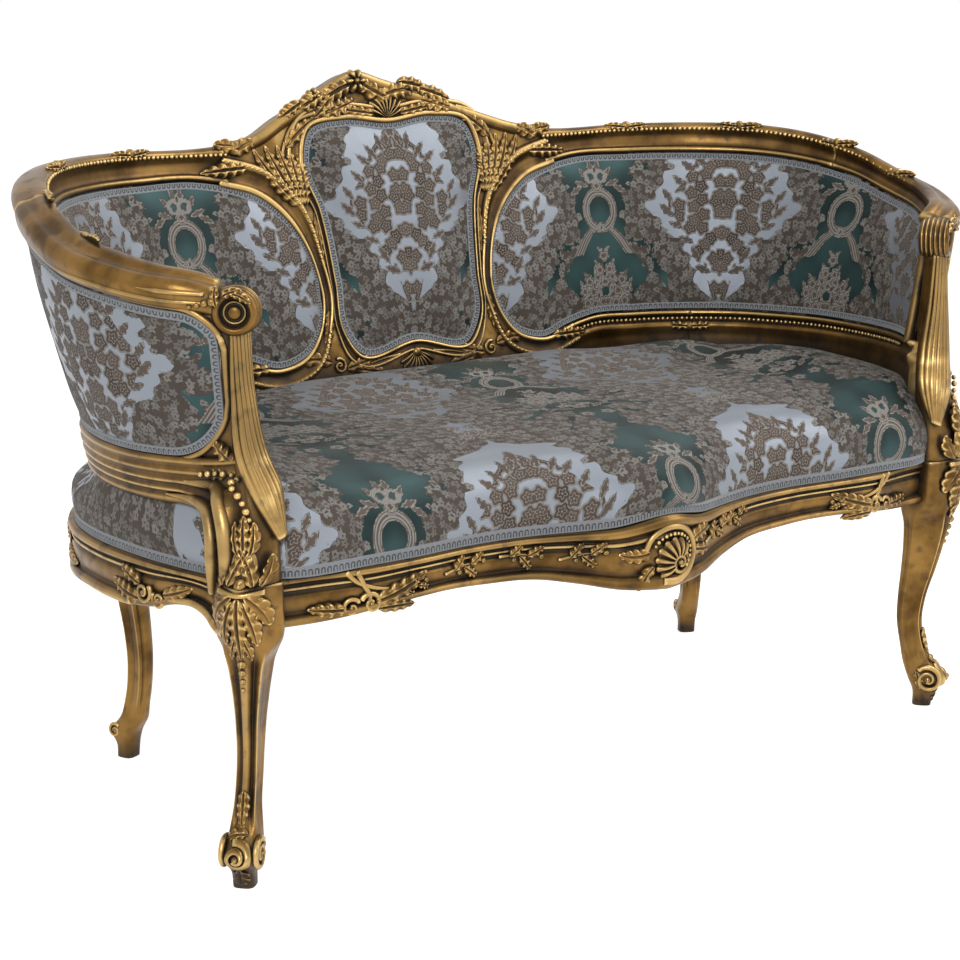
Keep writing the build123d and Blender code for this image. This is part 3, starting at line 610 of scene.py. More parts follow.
def figure_fields(u, v):
    """Depths of the foliage, bouquets and ribbons, and distances to threads, at points of the cloth."""
    a = column_place(u)
    b = (v - wreath_height + repeat_v / 2) % repeat_v - repeat_v / 2
    wave = 0.004 * np.sin(b * 150 + 1.0) + 0.003 * np.sin(b * 263)
    inner, outer = row_value(1, b) + wave, row_value(2, b) - wave
    fields = {"figure": np.full(a.shape, -0.03)}
    fields.update({key: np.full(a.shape, 0.01) for key in ("rim", "vein")})
    fields["band"] = np.minimum(a - inner, outer - a)
    fields["bouquet"] = row_value(3, b) - (half_u - a) - 0.003
    fields["ground"] = a - (inner + outer) / 2

    def join(near, own, vein):
        """Lays a motif over the ones before it."""
        for key, value in (("rim", own), ("vein", vein)):
            fields[key][near] = np.where(own > 0, value, fields[key][near])
        fields["figure"][near] = np.maximum(fields["figure"][near], own)

    everywhere = np.ones(a.shape, bool)
    flat_a, flat_b = a[everywhere], b[everywhere]
    tail_middle = 0.006 + 1.02 * (-0.022 - flat_b) + 0.004 * np.sin((-0.022 - flat_b) * 90)
    on_tail = (flat_b < -0.020) & (flat_b > -0.072)
    tail = np.where(on_tail, 0.0072 - np.abs(flat_a - tail_middle) * 0.75, -0.02)
    join(everywhere, tail, np.abs(flat_a - tail_middle) - 0.0028)
    ring = (np.hypot(flat_a / 0.026, flat_b / 0.030) - 1) * 0.028
    join(everywhere, 0.0072 - np.abs(ring), np.abs(ring) - 0.0026)
    for kind, mu, mv, size, turn in motifs:
        for wrap in (-repeat_v, 0, repeat_v):
            du, dv = a - mu, b - mv - wrap
            near = (np.abs(du) < 1.3 * size) & (np.abs(dv) < 1.3 * size)
            if not near.any():
                continue
            x, y = du[near], dv[near]
            gap = np.hypot(x, y)
            if kind == "leaf":
                across = y * math.cos(turn) - x * math.sin(turn)
                along = (x * math.cos(turn) + y * math.sin(turn)) / size
                wide = 0.36 * size * np.maximum(1 - np.abs(along) ** 1.6, 0) * (1 + 0.2 * np.cos(along * 11))
                join(near, wide - np.abs(across), 0.01 + 0 * across)
            elif kind == "loop":
                join(near, 0.0035 - np.abs(gap - size * 0.8), gap - size * 0.8)
            else:
                petals = np.cos(5 * np.arctan2(y, x) + turn)
                join(near, size * (0.86 + 0.14 * petals) - gap, gap - size * (0.45 + 0.12 * petals))
    return fields


# Cushions and covers

def pillow(gap, crown, reach):
    """Rise of stuffing at a distance from the edge."""
    return crown * (1 - np.exp(-np.maximum(gap, 0) / reach))


def wall_cushion(stations, under, over, edge, root, crown, phase_u, phase_v, rows=104):
    """A stuffed panel along the wall, crowned inward (crown below 0) or outward."""
    share = (1 - np.cos(np.linspace(0, np.pi, rows))) / 2 * 0.35 + np.linspace(0, 1, rows) * 0.65
    z = under[:, None] + (over - under)[:, None] * share
    run = run_of(stations)[:, None]
    across = np.minimum(z - under[:, None], over[:, None] - z)
    ends = np.minimum(run - run[0], run[-1] - run) / MM
    gap = 1 / (1 / (across + 4) ** 3 + 1 / (ends * 1.2 + 6) ** 3) ** (1 / 3) - 3
    ripple = 0.5 * np.sin(run * 61 + 1.3) * np.sin(z * 0.045 + run * 9)
    face = edge + np.sign(crown) * (pillow(gap, abs(crown), 34) + ripple * np.clip(gap / 40, 0, 1))
    face = face + (root - edge) * 0.5 * np.exp(-np.maximum(gap, 0) / 2.5)
    front = wall(stations[:, None], z, face)
    back_z = over[:, None] + (under - over)[:, None] * np.linspace(0, 1, 8)
    back = wall(stations[:, None], back_z, root)
    u = np.concatenate([run + 0 * z, run + 0 * back_z], 1) + phase_u
    v = np.concatenate([z, back_z], 1) * MM + phase_v
    shape = Mesh()
    shape.grid(np.concatenate([front, back], 1), wrap_v=True, caps=True, tags=figure_fields(u, v),
               uv=cloth_place(u, v))
    return shape


def even_stations(first, last, step):
    """Stations at an even distance along the wall, closer together at both ends."""
    start, end = run_of(first), run_of(last)
    count = int((end - start) / step)
    t = np.linspace(0, 1, count)
    return station_at(start + (end - start) * (0.8 * t + 0.2 * (1 - np.cos(np.pi * t)) / 2))


def inside_panel():
    """The wrap-round pad from beside the medallion to the end of the arm."""
    stations = even_stations(panel_tip[0][0] + 0.0005, pad_end, 0.0024)
    under, over = inside_under(stations), inside_over(stations)
    return wall_cushion(
        stations, under, over, edge=4.0, root=12.0, crown=-17.0, phase_u=-0.378, phase_v=-0.523)


def rounded_end(stations, radius):
    """How far an edge of the outside cover draws in near its front end."""
    gap = np.clip((run_of(outside_end) - run_of(stations)) / MM / radius, 0, 1)
    return radius * (1 - np.sqrt(1 - (1 - gap) ** 2))


def outside_under(stations):
    """Lower edge of the cover outside the arm."""
    return inside_under(stations) - 22 + rounded_end(stations, 80.0)


def outside_over(stations):
    """Its upper edge."""
    return inside_over(stations) - rounded_end(stations, 46.0)


def outside_arm_panel():
    """The cover outside the arm."""
    stations = even_stations(upright_station, outside_end, 0.0034)
    under, over = outside_under(stations), outside_over(stations)
    return wall_cushion(stations, under, over, edge=36.0, root=31.0, crown=9.0, phase_u=-0.25, phase_v=0.0)


def outside_back_panel():
    """The cover behind the back; it rises behind the medallion."""
    stations = even_stations(-upright_station, upright_station, 0.0045)
    place = np.abs(stations)
    rows = [(-0.3, 934), (0, 934), (0.245, 922), (0.45, 898), (0.65, 872), (0.866, 846), (1.2, 836)]
    rise = level(rows, station_scale)
    over = np.where(place < 1.1, rise(place), inside_over(np.maximum(place, 1.1)))
    sink = level([(-0.3, 522), (0, 522), (0.35, 526), (0.866, 534), (1.2, 551)], station_scale)
    under = np.where(place < 1.1, sink(place), inside_under(np.maximum(place, 1.1)) - 22)
    return wall_cushion(
        stations, under, over, edge=44.0, root=33.0, crown=6.0, phase_u=0.0, phase_v=0.0, rows=116)


lean = math.atan2(high_plan["back"] - low_plan["back"], high_plan["z"] - low_plan["z"])


def on_back(x, z, out):
    """Points in metres on the leaning plane of the flat back."""
    x, z, out = alike(x, z, out)
    y = low_plan["back"] + (z - low_plan["z"]) * math.tan(lean) + out * math.cos(lean)
    return np.stack([x, y, z - out * math.sin(lean)], -1) * MM


# Where the medallion's cloth starts on the figure, in metres.
medallion_phase = -0.559
medallion_loop = smooth(medallion + [(-x, z) for x, z in reversed(medallion[1:-1])], 480, closed=True)


def medallion_cushion():
    """The medallion's pad, crowned from its outline to its middle."""
    middle = np.array([0, medallion_middle])
    rings = np.r_[0, np.linspace(0.008, 1, 84) ** 0.9]
    loop = middle + (medallion_loop - middle)[None] * (1 - rings[:, None, None] * 0.995)
    gap = rings[:, None] * np.linalg.norm(medallion_loop - middle, axis=1)[None]
    face = 5 - pillow(gap, 19, 40) + 4 * np.exp(-gap / 2.5)
    x, z = loop[..., 0], loop[..., 1]
    u, v = x * MM + half_u, z * MM + medallion_phase
    shape = Mesh()
    shape.grid(on_back(x, z, face), wrap_v=True, tags=figure_fields(u, v), uv=cloth_place(u, v))
    back = np.stack([loop[0], loop[-1]])
    bx, bz = back[..., 0], back[..., 1]
    bu, bv = bx * MM + half_u, bz * MM + medallion_phase
    shape.grid(on_back(bx, bz, np.array([[9.0], [12.0]])), wrap_v=True, tags=figure_fields(bu, bv),
               uv=cloth_place(bu, bv))
    return shape


# The seat's stuffing in millimetres: how far it swells behind and draws in at the back corners, and how much
# higher it stands along the back and the sides.
back_swell, corner_draw = 11, 34
back_full, side_full = 33, 26
# The rise in the middle of its front edge: half width, and how far back it starts.
front_rise_width, front_rise_back = 62, -250
# Where the seat's cloth starts on the figure, in metres.
seat_phase = (-0.034, 0.608)
seat_loop = smooth(seat_ring + [(-x, y) for x, y in reversed(seat_ring[1:-1])], 1500, closed=True)


def seat_cushion():
    """The sprung seat: drawn in at its foot, full over the rail and crowned to the middle."""
    section = smooth(pad_section, 175)
    rise, inset = section[:, 0][:, None], section[:, 1][:, None]
    x = seat_loop[:, 0][None] * (1 - inset / seat_half_width)
    y = seat_middle + (seat_loop[:, 1][None] - seat_middle) * (1 - inset / seat_half_depth)
    y = y + back_swell * ease(y, 120, 212) * ease(rise, 34, 66) * ease(-np.abs(x), -300, -200)
    turn = np.degrees(np.arctan2(y - seat_middle, np.abs(x)))
    corner = ease(turn, 4, 18) * ease(-turn, -48, -34) * ease(-inset, -160, -40)
    reach = np.maximum(np.hypot(x, y - seat_middle), 50)
    drawn_in = 1 - corner_draw * corner * ease(rise, 44, 66) / reach
    x, y = x * drawn_in, seat_middle + (y - seat_middle) * drawn_in
    lift = front_rise * np.exp(-(x / front_rise_width) ** 2) * (y < front_rise_back) * np.exp(-rise / 30)
    front_soft = ease(-y, 180, 330) * np.clip(rise / 60, 0, 1) * np.clip(1.6 - rise / 70, 0, 1)
    ripple = np.sin(x * 0.021 + 0.6) * np.sin(y * 0.028) * 1.1 * np.clip(inset / 60, 0, 1)
    full_back = back_full * ease(y, 40, 215) * ease(rise, 38, 90)
    full_side = side_full * ease(np.abs(x), 420, 560) * ease(rise, 38, 90) * ease(y, -330, -220)
    z = seat_rail_top + rise + lift + ripple + front_soft * 1.5 + np.maximum(full_back, full_side)
    slack = run_along(section)[:, None] - inset
    tangent = loop_heading(seat_loop)
    out_x, out_y = tangent[:, 1][None], -tangent[:, 0][None]
    fold = np.clip(slack[-1] - slack, 0, 130)
    u = (x + out_x * fold * (np.abs(out_x) > 0.6)) * MM + seat_phase[0]
    v = (y + out_y * fold * (np.abs(out_y) > 0.5)) * MM + seat_phase[1]
    v = v - 0.17 * (x * MM) ** 2
    shape = Mesh()
    shape.grid(np.stack([x, y, z], -1) * MM, wrap_v=True, tags=figure_fields(u, v), uv=cloth_place(u, v))
    foot = np.stack([np.stack([x[0] * k, seat_middle + (y[0] - seat_middle) * k, z[0] + 0 * x[0]], -1)
                     for k in (1.0, 0.9)]) * MM
    pair = np.repeat(u[:1], 2, 0), np.repeat(v[:1], 2, 0)
    shape.grid(foot, wrap_v=True, tags=figure_fields(*pair), uv=cloth_place(*pair))
    return shape


def make_pair(shape, name, material=gilt, slot="gilt_wood", replaces=True):
    """Builds a right-hand piece and its mirror image."""
    made = []
    kind = "carved" if slot == "gilt_wood" else "soft"
    for part, side in ((shape, "right"), (shape.mirrored(), "left")):
        nodes = (f"{name}_{side}",) if replaces else ()
        made.append(part.build(f"{name}_{side}_{kind}", material, slot, nodes))
    return made


for pad in make_pair(inside_panel(), "inside_panel", brocade, "brocade"):
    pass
for pad in make_pair(outside_arm_panel(), "outside_arm_panel", brocade, "outside_fabric"):
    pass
outside_back_panel().build(
    "outside_back_cover", brocade, "outside_fabric", ["outside_back_panel"])
medallion_cushion().build(
    "medallion_pad", brocade, "brocade", ["inside_back_panel_centre"], merge=1e-5)
seat_cushion().build("seat_cushion", brocade, "brocade", ["seat_pad"], merge=1e-5)


# Gimp braid along the edges of the cloth

braid_pitch, braid_inset, braid_step = 8.6, 8.0, 0.00105


def braid(path, normal, side, braid_half=5.4):
    """A looped braid on a closed path in metres: normal points off the cloth, side to its inner edge."""
    count = int(length_of(path) / braid_step)
    stack = np.concatenate([path, normal, side], 1)
    stack = np.concatenate([stack, stack[:1]])
    run = run_along(stack[:, :3])
    marks = np.linspace(0, run[-1], count, endpoint=False)
    line = np.stack([np.interp(marks, run, stack[:, k]) for k in range(9)], 1)
    loops = max(1, round(run[-1] / MM / braid_pitch))
    phase = (marks / run[-1] * loops) % 1.0
    w = np.linspace(-1, 1, 19)
    cord = 1.6 * np.exp(-((np.abs(w) - 0.84) / 0.18) ** 2)
    across, along = w[None] * braid_half + 0.1 * braid_half, (phase[:, None] - 0.5) * braid_pitch
    arch = np.where(across > 0, np.hypot(along, across), np.abs(along))
    slot = ease(1.25 - np.abs(arch - 2.3), 0, 0.9) * (np.abs(w[None]) < 0.72)
    rise = np.maximum(cord[None], 1.5 * (1 - slot)) * (1 - 0.9 * (np.abs(w[None]) > 0.97)) + 0.3
    place, off, aside = line[:, None, :3], unit(line[:, None, 3:6]), unit(line[:, None, 6:])
    points = place + aside * (w[None, :, None] * braid_half * MM) + off * (rise[..., None] * MM)
    under = place + aside * (w[None, ::-1, None][:, ::9] * braid_half * MM) - off * 1.5 * MM
    gaps = np.concatenate([slot, np.zeros((count, 3))], 1)
    return Mesh().grid(np.concatenate([points, under], 1), wrap_u=True, wrap_v=True, tags={"gap": gaps})


def wall_braid(first, last, under, over, face, inward):
    """Braid round a panel of the wall."""
    low = even_stations(first, last, 0.006)
    high = low[::-1]
    z = np.r_[under(low) + braid_inset, over(high) - braid_inset]
    ends = station_at(run_of(first) + braid_inset * MM), station_at(run_of(last) - braid_inset * MM)
    s = np.clip(np.r_[low, high], *ends)
    path = wall(s, z, face)
    keep = np.r_[True, np.linalg.norm(np.diff(path, axis=0), axis=1) > 1e-5]
    s, z = s[keep], z[keep]
    loop = even(np.stack([s * station_scale, z], 1)[np.r_[0:len(s), 0]], 700, closed=True)
    s, z = loop[:, 0] / station_scale, loop[:, 1]
    path = wall(s, z, face)
    normal = unit(wall(s, z, face + (-1 if inward else 1)) - path)
    along = loop_heading(path)
    side = unit(np.cross(normal, along)) * (1 if inward else -1)
    return braid(path, normal, side)


make_pair(wall_braid(panel_tip[0][0], pad_end, inside_under, inside_over, face=0.0, inward=True),
          "inside_panel_braid", braid_cloth, "brocade", replaces=False)
make_pair(wall_braid(upright_station, outside_end, outside_under, outside_over, face=39.0, inward=False),
          "outside_arm_braid", braid_cloth, "outside_fabric", replaces=False)

# The braid's line as a share of the medallion's outline, across and up.
medallion_inner = np.array([0.95, 0.960375])
medallion_centre = np.array([0, medallion_middle])
medallion_line = medallion_centre + (medallion_loop - medallion_centre) * medallion_inner
medallion_path = on_back(medallion_line[:, 0], medallion_line[:, 1], 1.0)
medallion_normal = np.tile(unit(np.array([0, -math.cos(lean), math.sin(lean)])), (len(medallion_path), 1))
medallion_side = -np.cross(medallion_normal, loop_heading(medallion_path))
braid(medallion_path, medallion_normal, medallion_side).build("medallion_braid", braid_cloth, "brocade")


def seat_plan(inset):
    """The seat's outline, drawn in by a distance."""
    middle = np.array([0, seat_middle])
    return middle + (seat_loop - middle) * (1 - inset / np.array([seat_half_width, seat_half_depth]))


seat_braid_inset, seat_braid_up, seat_braid_half = 6.0, 8, 8.0
seat_along = loop_heading(seat_loop)
seat_out = np.stack([seat_along[:, 1], -seat_along[:, 0], 0 * seat_along[:, 0]], 1)
seat_bump = front_rise * np.exp(-(seat_loop[:, 0] / front_rise_width) ** 2)
seat_bump = seat_braid_up + seat_bump * (seat_loop[:, 1] < front_rise_back)
seat_path = np.concatenate([seat_plan(seat_braid_inset), (seat_rail_top + seat_bump)[:, None]], 1) * MM
seat_up = np.tile(np.array([0, 0, 1.0]), (len(seat_path), 1))
braid(seat_path, seat_out, seat_up, seat_braid_half).build("seat_braid", braid_cloth, "brocade")


# Carved rails along the wall

crest_profile = [
    (16, 0), (6, 0), (0, 1), (-3, 4), (-1, 8), (3, 9.5), (5, 13), (5.5, 19), (4.5, 26), (1, 31), (-2, 35),
    (-3, 39), (1, 44), (8, 47), (20, 48), (32, 47), (41, 43), (45, 36), (43, 27), (45, 18), (45, 8),
    (40, 1), (28, 0)]
arm_profile = [
    (16, 0), (5, 0), (0, 2), (-2, 7), (1, 11), (4, 17), (2, 24), (-4, 29), (-6, 36), (-3, 43), (4, 46),
    (12, 46), (18, 42), (24, 41), (33, 43), (41, 39), (46, 30), (47, 20), (46, 10), (40, 1), (28, 0)]
profile_height = 46.0
low_profile = [
    (10, 0), (3, 0), (-2, -2), (-3, -5), (0, -8), (4, -10), (4, -17), (1, -20), (-1, -25), (1, -31),
    (4, -38), (6, -50), (9, -68), (16, -80), (32, -84), (45, -82), (48, -74), (44, -69), (48, -63),
    (44, -57), (48, -51), (44, -45), (47, -38), (43, -31), (45, -25), (40, -20), (32, -20), (29, -10),
    (26, 0)]


def wall_rail(first, last):
    """The moulded rail over the panels, from one station to another."""
    stations = even_stations(first, last, 0.006)
    crest, arm = smooth(crest_profile, 90, closed=True), smooth(arm_profile, 90, closed=True)
    turn = ease(stations, 2.2, 2.9)[:, None]
    out = crest[:, 0] * (1 - turn) + arm[:, 0] * turn
    height = (crest[:, 1] * (1 - turn) + arm[:, 1] * turn) / profile_height
    narrow = ease(stations, 3.7, low_rail_end)[:, None]
    out = out - 14 * narrow
    under = inside_over(stations)[:, None] - 9 * narrow
    tall = (rail_over(stations) - inside_over(stations))[:, None]
    return Mesh().solid(wall(stations[:, None], under + height * tall, out))


def low_wall_rail(first, last):
    """The moulded rail under the panels; its outer face is reeded."""
    stations = even_stations(first, last, 0.006)
    profile = smooth(low_profile, 120, closed=True)
    under = inside_under(stations)[:, None]
    shape = Mesh()
    drop = 32 * ease(stations, 3.6, 4.02)[:, None] * ease(-profile[:, 1], 42, 72)[None]
    shape.solid(wall(stations[:, None], under + profile[:, 1] - drop, profile[:, 0]))
    return shape


make_pair(wall_rail(centre_joint, rail_joint), "crest_rail")
make_pair(low_wall_rail(centre_joint, upright_station), "lower_back_rail")
make_pair(low_wall_rail(upright_station, low_rail_end), "lower_arm_rail")


# Seat rails

rail_face_profile = [
    (-22, 3), (-10, 0), (-2, 1), (4, 4), (5, 9), (1, 12.5), (-4, 15), (-3, 18), (-1, 24), (0, 30), (-1, 36),
    (-4, 39), (-4, 41.5), (0, 43), (0.5, 45.5), (-3, 47.5), (0, 50), (4, 53), (4, 57), (-1, 60)]
rail_face_height = 60.0


def seat_rail(path, low, top):
    """A serpentine rail: moulded face, carved lower edge, level backing."""
    along = unit(np.gradient(path, axis=0))
    outward = np.stack([along[:, 1], -along[:, 0]], 1)
    face = smooth(rail_face_profile, 60)
    tall = (top - low)[:, None]
    ups = low[:, None] + face[:, 1] / rail_face_height * tall
    back = np.linspace(top, np.full_like(top, rail_under), 4, axis=1)
    step_in = np.full((len(path), 4), rail_under)
    inner = np.linspace(np.full_like(top, rail_under), np.minimum(low + 4, rail_under), 3, axis=1)
    z = np.concatenate([ups, back, step_in, inner], 1)
    depth = np.r_[
        face[:, 0], np.full(4, -rail_thick), np.linspace(-rail_thick, -apron, 4), np.full(3, -apron)]
    xy = path[:, None] + outward[:, None] * depth[None, :, None]
    return Mesh().solid(np.concatenate([xy, z[..., None]], -1) * MM)


front_path = smooth([(-x, y) for x, y in reversed(front_face)] + front_face[1:], 260)
front_low = level(front_edge)(np.abs(front_path[:, 0]))
front_top = seat_rail_top + front_rise * np.exp(-(front_path[:, 0] / 50) ** 2)
seat_rail(front_path, front_low, front_top).build(
    "front_seat_rail_carved", gilt, "gilt_wood", ["front_seat_rail"])
side_path = smooth(side_face, 160)
side_low = level(side_edge)(side_path[:, 1])
make_pair(seat_rail(side_path, side_low, np.full(len(side_path), seat_rail_top)), "side_seat_rail")


# Carved ornament, drawn on surfaces: each surface maps (right, up, out) millimetres to metres

def patch(origin, right, up, out):
    """A flat patch of surface at a point in millimetres."""
    axes = np.stack([unit(np.array(axis, float)) for axis in (right, up, out)])
    return lambda u, v, h: (np.stack(np.broadcast_arrays(u, v, h), -1) @ axes + np.array(origin)) * MM


def back_patch(u, v, h):
    """The front of the flat back's frame: right, height, out."""
    return on_back(u, v, 2.0 - np.asarray(h, float))


def wall_patch(station, z, out, outward=False):
    """A patch on the wall, facing the seat or facing outward."""
    here = wall(station, z, out) / MM
    along = wall(station + 0.02, z, out) / MM - here
    up = wall(station, z + 1.0, out) / MM - here
    normal = wall(station, z, out + (1.0 if outward else -1.0)) / MM - here
    return patch(here, along, up, normal)


def left_of(line, closed=False):
    """Directions to the left of a flat line."""
    if closed:
        along = loop_heading(line)
    else:
        along = unit(np.gradient(line, axis=0))
    return np.stack([-along[:, 1], along[:, 0]], 1)


def beside(line, left, off):
    """Two grids, right and up, of points at distances to the left of a flat line."""
    return [line[:, k][:, None] + left[:, k][:, None] * off for k in (0, 1)]


def two_sided(surface, u, v, top, under):
    """A patch of carving with an upper and an under side."""
    pairs = ((u, u), (v, v), (top, under))
    return surface(*(np.concatenate([a, b[:, ::-1]], 1) for a, b in pairs))


def flipped(surface, side):
    """A surface, turned over to the left where side is -1."""
    return lambda u, v, h: surface(side * u, v, h)


def moulding(shape, surface, line, profile, closed=False, width=1.0):
    """A moulding along a line of a surface; the profile's rows are (distance to the left, height)."""
    left = left_of(line, closed)
    section = smooth(profile, 28, closed=True)
    off = section[:, 0][None] * np.broadcast_to(width, (len(line),))[:, None]
    u, v = beside(line, left, off)
    shape.grid(surface(u, v, section[:, 1][None]), wrap_u=closed, wrap_v=True, caps=not closed)


def leaf(shape, surface, start, angle, length, width, rise, bend=0.0, lobes=4, curl=0.0):
    """An acanthus leaf: lobed edges, a sunk midrib, ribs to each lobe, and a tip that may curl up."""
    t = np.linspace(0, 1, 34)[:, None]
    s = np.linspace(-1, 1, 15)[None]
    heading = angle + bend * t[:, 0]
    steps = length / 33 * np.stack([np.cos(heading), np.sin(heading)], 1)
    line = np.array(start, float) + np.cumsum(steps, 0) - steps[0]
    left = left_of(line)
    body = np.sin(np.pi * (0.12 + 0.88 * t) ** 0.8) ** 0.7
    edge = 0.74 + 0.26 * np.abs(np.sin(np.pi * lobes * t)) ** 0.7
    off = width / 2 * body * edge * s
    sweep = 0.22 * width * np.abs(s) ** 1.5 * body
    u, v = beside(line, left, off)
    u = u + np.cos(heading)[:, None] * sweep
    v = v + np.sin(heading)[:, None] * sweep
    ribs = 0.26 * np.cos(2 * np.pi * lobes * t + np.pi + 1.6 * np.abs(s)) * np.abs(s)
    groove = 0.42 * np.exp(-(s / 0.14) ** 2)
    top = rise * body * (0.28 + 0.62 * np.sqrt(1 - s * s) + ribs - groove) + curl * t ** 3
    under = np.minimum(top - 1.2, -2.0 + 0.8 * curl * t ** 3)
    shape.solid(two_sided(surface, u, v, top, under))


def leaves(shape, surface, rows):
    """Leaves from rows of right, up, heading, length, width, rise, and where needed bend, lobes and curl."""
    for right, up, *rest in rows:
        leaf(shape, surface, (right, up), *rest)


def vine(shape, surface, points, thick, taper=(1.0, 0.4)):
    """A rounded stem along points of a surface, thinner towards its end."""
    rough = np.asarray(points, float)
    length = length_of(rough)
    line = smooth(rough, max(14, int(length / 2.2)))
    left = left_of(line)
    radius = (thick / 2 * np.linspace(*taper, len(line)))[:, None]
    turn = full_turn(12)[None]
    off = radius * np.cos(turn)
    u, v = beside(line, left, off)
    shape.solid(surface(u, v, radius * (np.sin(turn) + 0.3)))


def dome(shape, surface, centre, radius, rise):
    """A rounded boss."""
    r = np.sin(np.linspace(0.02, 1, 8) * np.pi / 2)[:, None]
    turn = full_turn(18)[None]
    height = rise * np.sqrt(np.maximum(1 - r * r, 0)) - 0.8
    u, v = centre[0] + radius * r * np.cos(turn), centre[1] + radius * r * np.sin(turn)
    shape.solid(surface(u, v, height + 0 * turn))


def volute(shape, surface, centre, radius, turns, start, hand, thick, rise=3.0):
    """A scroll that winds in and rises to its eye."""
    t = np.linspace(0, 1, int(34 * turns))
    angle = start + hand * 2 * np.pi * turns * t
    reach = radius * (0.2 + 0.8 * (1 - t) ** 0.95)
    line = np.array(centre) + np.stack([np.cos(angle), np.sin(angle)], 1) * reach[:, None]
    left = left_of(line)
    tube = (thick / 2 * (1 - 0.5 * t))[:, None]
    turn = full_turn(12)[None]
    u, v = beside(line, left, tube * np.cos(turn))
    shape.solid(surface(u, v, tube * (np.sin(turn) + 0.3) + rise * t[:, None]))
    dome(shape, surface, centre, radius * 0.3, rise + thick * 0.5)


def shell_fan(shape, surface, centre, angle, spread, radius, ribs, rise):
    """A rocaille shell: ribs that fan out to a scalloped rim."""
    a = np.linspace(-0.5, 0.5, ribs * 8 + 1)[None]
    r = np.linspace(0.04, 1, 20)[:, None]
    lobe = np.abs(np.sin(np.pi * ribs * (a + 0.5)))
    reach = radius * (0.86 + 0.14 * lobe) * (1 - 0.2 * (2 * a) ** 2) * r
    turn = angle + spread * a
    u = centre[0] + reach * np.cos(turn)
    v = centre[1] + reach * np.sin(turn)
    top = rise * np.sin(np.pi * (0.12 + 0.8 * r)) * (0.3 + 0.7 * lobe ** 0.7) * r ** 0.25
    under = np.full_like(top, -2.0)
    shape.solid(two_sided(surface, u, v, top, under))


def blossom(shape, surface, centre, radius, petals, rise):
    """A carved flower with rounded petals and a boss."""
    turn = full_turn(petals * 10)[None]
    r = np.linspace(0.05, 1, 14)[:, None]
    lobe = np.abs(np.cos(petals * turn / 2))
    reach = radius * (0.7 + 0.3 * lobe) * r
    height = rise * (0.3 + 0.7 * np.sin(np.pi * 0.95 * r)) * (0.5 + 0.5 * lobe) - 1.0
    shape.solid(surface(centre[0] + reach * np.cos(turn), centre[1] + reach * np.sin(turn), height))
    dome(shape, surface, centre, radius * 0.3, rise * 1.15)


def beads(shape, path, pitch, radius):
    """A row of round beads along a path in metres."""
    length = length_of(path)
    around = full_turn(12)[None]
    down = np.linspace(0.05, np.pi - 0.05, 8)[:, None]
    ball = (np.sin(down) * np.cos(around), np.sin(down) * np.sin(around), np.cos(down) + 0 * around)
    ball = np.stack(ball, -1)
    for k, place in enumerate(even(path, max(2, int(length / MM / pitch)))):
        shape.solid(place + ball * (radius * MM * (1.0 if k % 2 else 0.82)))


def tube(shape, points, radius, taper=(1.0, 1.0)):
    """A round moulding through points in metres."""
    rough = np.asarray(points, float)
    length = length_of(rough)
    line = smooth(rough, max(14, int(length / 0.003)))
    along = unit(np.gradient(line, axis=0))
    side = unit(np.cross(along, (0.3, 0.2, 1.0)))
    lift = np.cross(side, along)
    turn = full_turn(14)
    share = np.interp(np.linspace(0, 1, len(line)), np.linspace(0, 1, len(taper)), taper)
    reach = (radius * MM * share)[:, None, None]
    ring_points = side[:, None] * np.cos(turn)[None, :, None] + lift[:, None] * np.sin(turn)[None, :, None]
    shape.solid(line[:, None] + ring_points * reach)


def sprig(shape, surface, place, heading, size):
    """A small stem with three leaves and three berries."""
    ahead = np.array([math.cos(heading), math.sin(heading)])
    across = np.array([-ahead[1], ahead[0]])
    place = np.array(place, float)
    vine(shape, surface, [place - ahead * size, place + across * 2, place + ahead * size * 0.8], 5.0)
    for step, turn in ((-0.5, 0.7), (0.0, -0.8), (0.35, 0.5)):
        start = place + ahead * size * step
        leaf(shape, surface, start, heading + turn, size * 0.85, size * 0.46, 6, lobes=3)
    for step, shift in ((-0.25, -5), (0.7, 3), (1.0, -1)):
        dome(shape, surface, place + ahead * size * step + across * shift, 4.2, 5.0)


# Middle of the back: frame mouldings, crest, stiles and the shell below

tip_profile = [
    (-3, -5), (-3, 3), (-1, 6), (4, 7), (8, 5), (10, 2), (14, 0.8), (20, 0.6), (26, 1.5), (31, 5),
    (36, 7.5), (40, 7), (44, 4), (48, -5)]
frame_profile = [
    (-3, -5), (-3, 2), (-1, 5.5), (2, 7), (5, 6), (7, 2.5), (10, 1.0), (15, 1.0), (18, 3), (21, 5),
    (24, 3.5), (26, -5)]
cap_profile = [
    (-15, 0), (-10, 4), (-3, 6), (3, 3), (5, -6), (3.5, -18), (5, -30), (3, -41), (-2, -45), (-9, -45),
    (-14, -40)]
foot_profile = [(-9, 0), (-6, 4), (0, 5), (3, 1), (3, -12), (2, -26), (-4, -27), (-9, -20)]
tip_loop = np.concatenate([
    [(x * back_flat_half, low) for x, low, high in reversed(panel_tip)],
    [(x * back_flat_half, high) for x, low, high in panel_tip[1:]]])
tip_line = smooth(np.concatenate([[(306, 563)], tip_loop, [(306, 824)]]), 270)
tip_width = 0.40 + 0.56 * ease(tip_line[:, 1], 690, 800) + 0.28 * ease(-tip_line[:, 1], -610, -555)


def mirror_line(line):
    """A line on the other side, running the other way."""
    return np.asarray(line)[::-1] * np.array([-1, 1])


